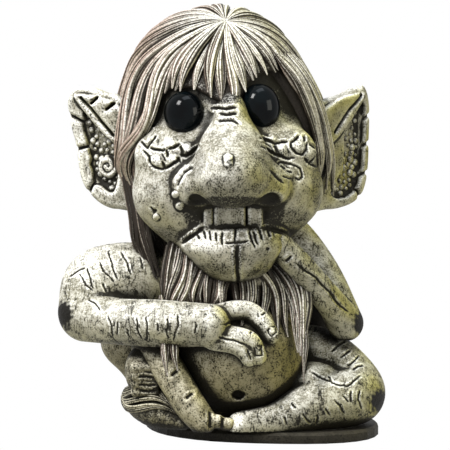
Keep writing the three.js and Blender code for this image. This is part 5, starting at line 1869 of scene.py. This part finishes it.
def seen_as_white(tree, white_kind, shaded, out):
    """The camera, and anything glossy or clear, sees plain white. Other rays see what is shaded."""
    light_path = tree.nodes.new("ShaderNodeLightPath")
    white = tree.nodes.new(white_kind)
    white.inputs["Color"].default_value = (1, 1, 1, 1)
    mix = tree.nodes.new("ShaderNodeMixShader")
    seen = maths(tree, "MAXIMUM", light_path.outputs["Is Camera Ray"], light_path.outputs["Is Glossy Ray"])
    seen = maths(tree, "MAXIMUM", seen, light_path.outputs["Is Transmission Ray"])
    tree.links.new(seen, mix.inputs[0])
    tree.links.new(shaded, mix.inputs[1])
    tree.links.new(white.outputs[0], mix.inputs[2])
    tree.links.new(mix.outputs[0], out)


floor_material, floor_tree, floor_shader = new_material("Pale table")
set_inputs(floor_tree, floor_shader, **{"Base Color": (0.8, 0.8, 0.8, 1), "Roughness": 0.9})
floor_out = floor_tree.nodes["Material Output"].inputs["Surface"]
seen_as_white(floor_tree, "ShaderNodeEmission", floor_shader.outputs[0], floor_out)
floor_mesh.materials.append(floor_material)
print("floor:", 2 * FLOOR_REACH, "m wide")

# %% [markdown]
# The world gives a faint bluish light from all round, and the lamps are soft boxes of given width,
# height and watts. Broad lamps near the figure leave the soft-edged shadows of a product picture.

# %% World and lamps
world = bpy.data.worlds.new("Studio")
bpy.context.scene.world = world
world.use_nodes = True
world_tree = world.node_tree
soft = world_tree.nodes["Background"]
soft.inputs["Color"].default_value = (0.85, 0.9, 1.0, 1)
soft.inputs["Strength"].default_value = 0.2
world_out = world_tree.nodes["World Output"].inputs["Surface"]
seen_as_white(world_tree, "ShaderNodeBackground", soft.outputs[0], world_out)


def turned_along(way):
    """The turn of a lamp or camera, which looks along its own -Z, that makes it look along way."""
    return Vector(way).to_track_quat("-Z", "Y").to_euler()


def lamp(name, at, target, width, height, watts, colour=(1, 1, 1)):
    light = bpy.data.lights.new(name, "AREA")
    light.shape = "RECTANGLE"
    light.size, light.size_y = width, height
    light.energy = watts
    light.color = colour
    holder = bpy.data.objects.new(name, light)
    holder.location = at
    holder.rotation_euler = turned_along(np.array(target) - np.array(at))
    bpy.context.scene.collection.objects.link(holder)


lamp("softbox", (-0.4, -0.38, 0.72), (0, 0, 0.12), 0.22, 0.26, 9.0, (1.0, 0.99, 0.97))
lamp("fill", (0.75, -0.5, 0.3), (0, 0, 0.1), 0.4, 0.5, 3.3, (1.0, 0.98, 0.86))
lamp("window", (0.06, -0.12, 0.95), (0, -0.03, 0.15), 0.5, 0.3, 2.3, (0.85, 0.93, 1.0))
print("lamps, W:", {light.name: round(light.energy, 1) for light in bpy.data.lights})

# %% [markdown]
# The camera stands far off with a long lens, so that the picture has hardly any perspective and
# the drawn pixel places fall where they were drawn.

# %% Camera
camera_data = bpy.data.cameras.new("long_lens")
camera_data.sensor_width = 36.0
CAMERA_AWAY = 3000.0
camera_data.lens = camera_data.sensor_width * CAMERA_AWAY / (PICTURE_SIDE * MM_PER_PIXEL)
camera = bpy.data.objects.new("camera", camera_data)
bpy.context.scene.collection.objects.link(camera)
# The middle of the picture, on the upright plane through the belly's front
aim_across = (PICTURE_SIDE / 2 - MIDDLE_COLUMN) * MM_PER_PIXEL
aim_up = (GROUND_ROW - PICTURE_SIDE / 2) * MM_PER_PIXEL - PLINTH_TOP
aim = np.array([aim_across, BELLY_FRONT, aim_up])
eye_at = aim + CAMERA_AWAY * np.array([0, -math.cos(LOOK_DOWN), math.sin(LOOK_DOWN)])
camera.location = (eye_at + bench_shift) * MM
camera.rotation_euler = turned_along(aim - eye_at)
bpy.context.scene.camera = camera
bpy.context.scene.view_settings.view_transform = "Standard"
print("camera at", tuple(round(c, 3) for c in camera.location), "lens", round(camera_data.lens, 1))
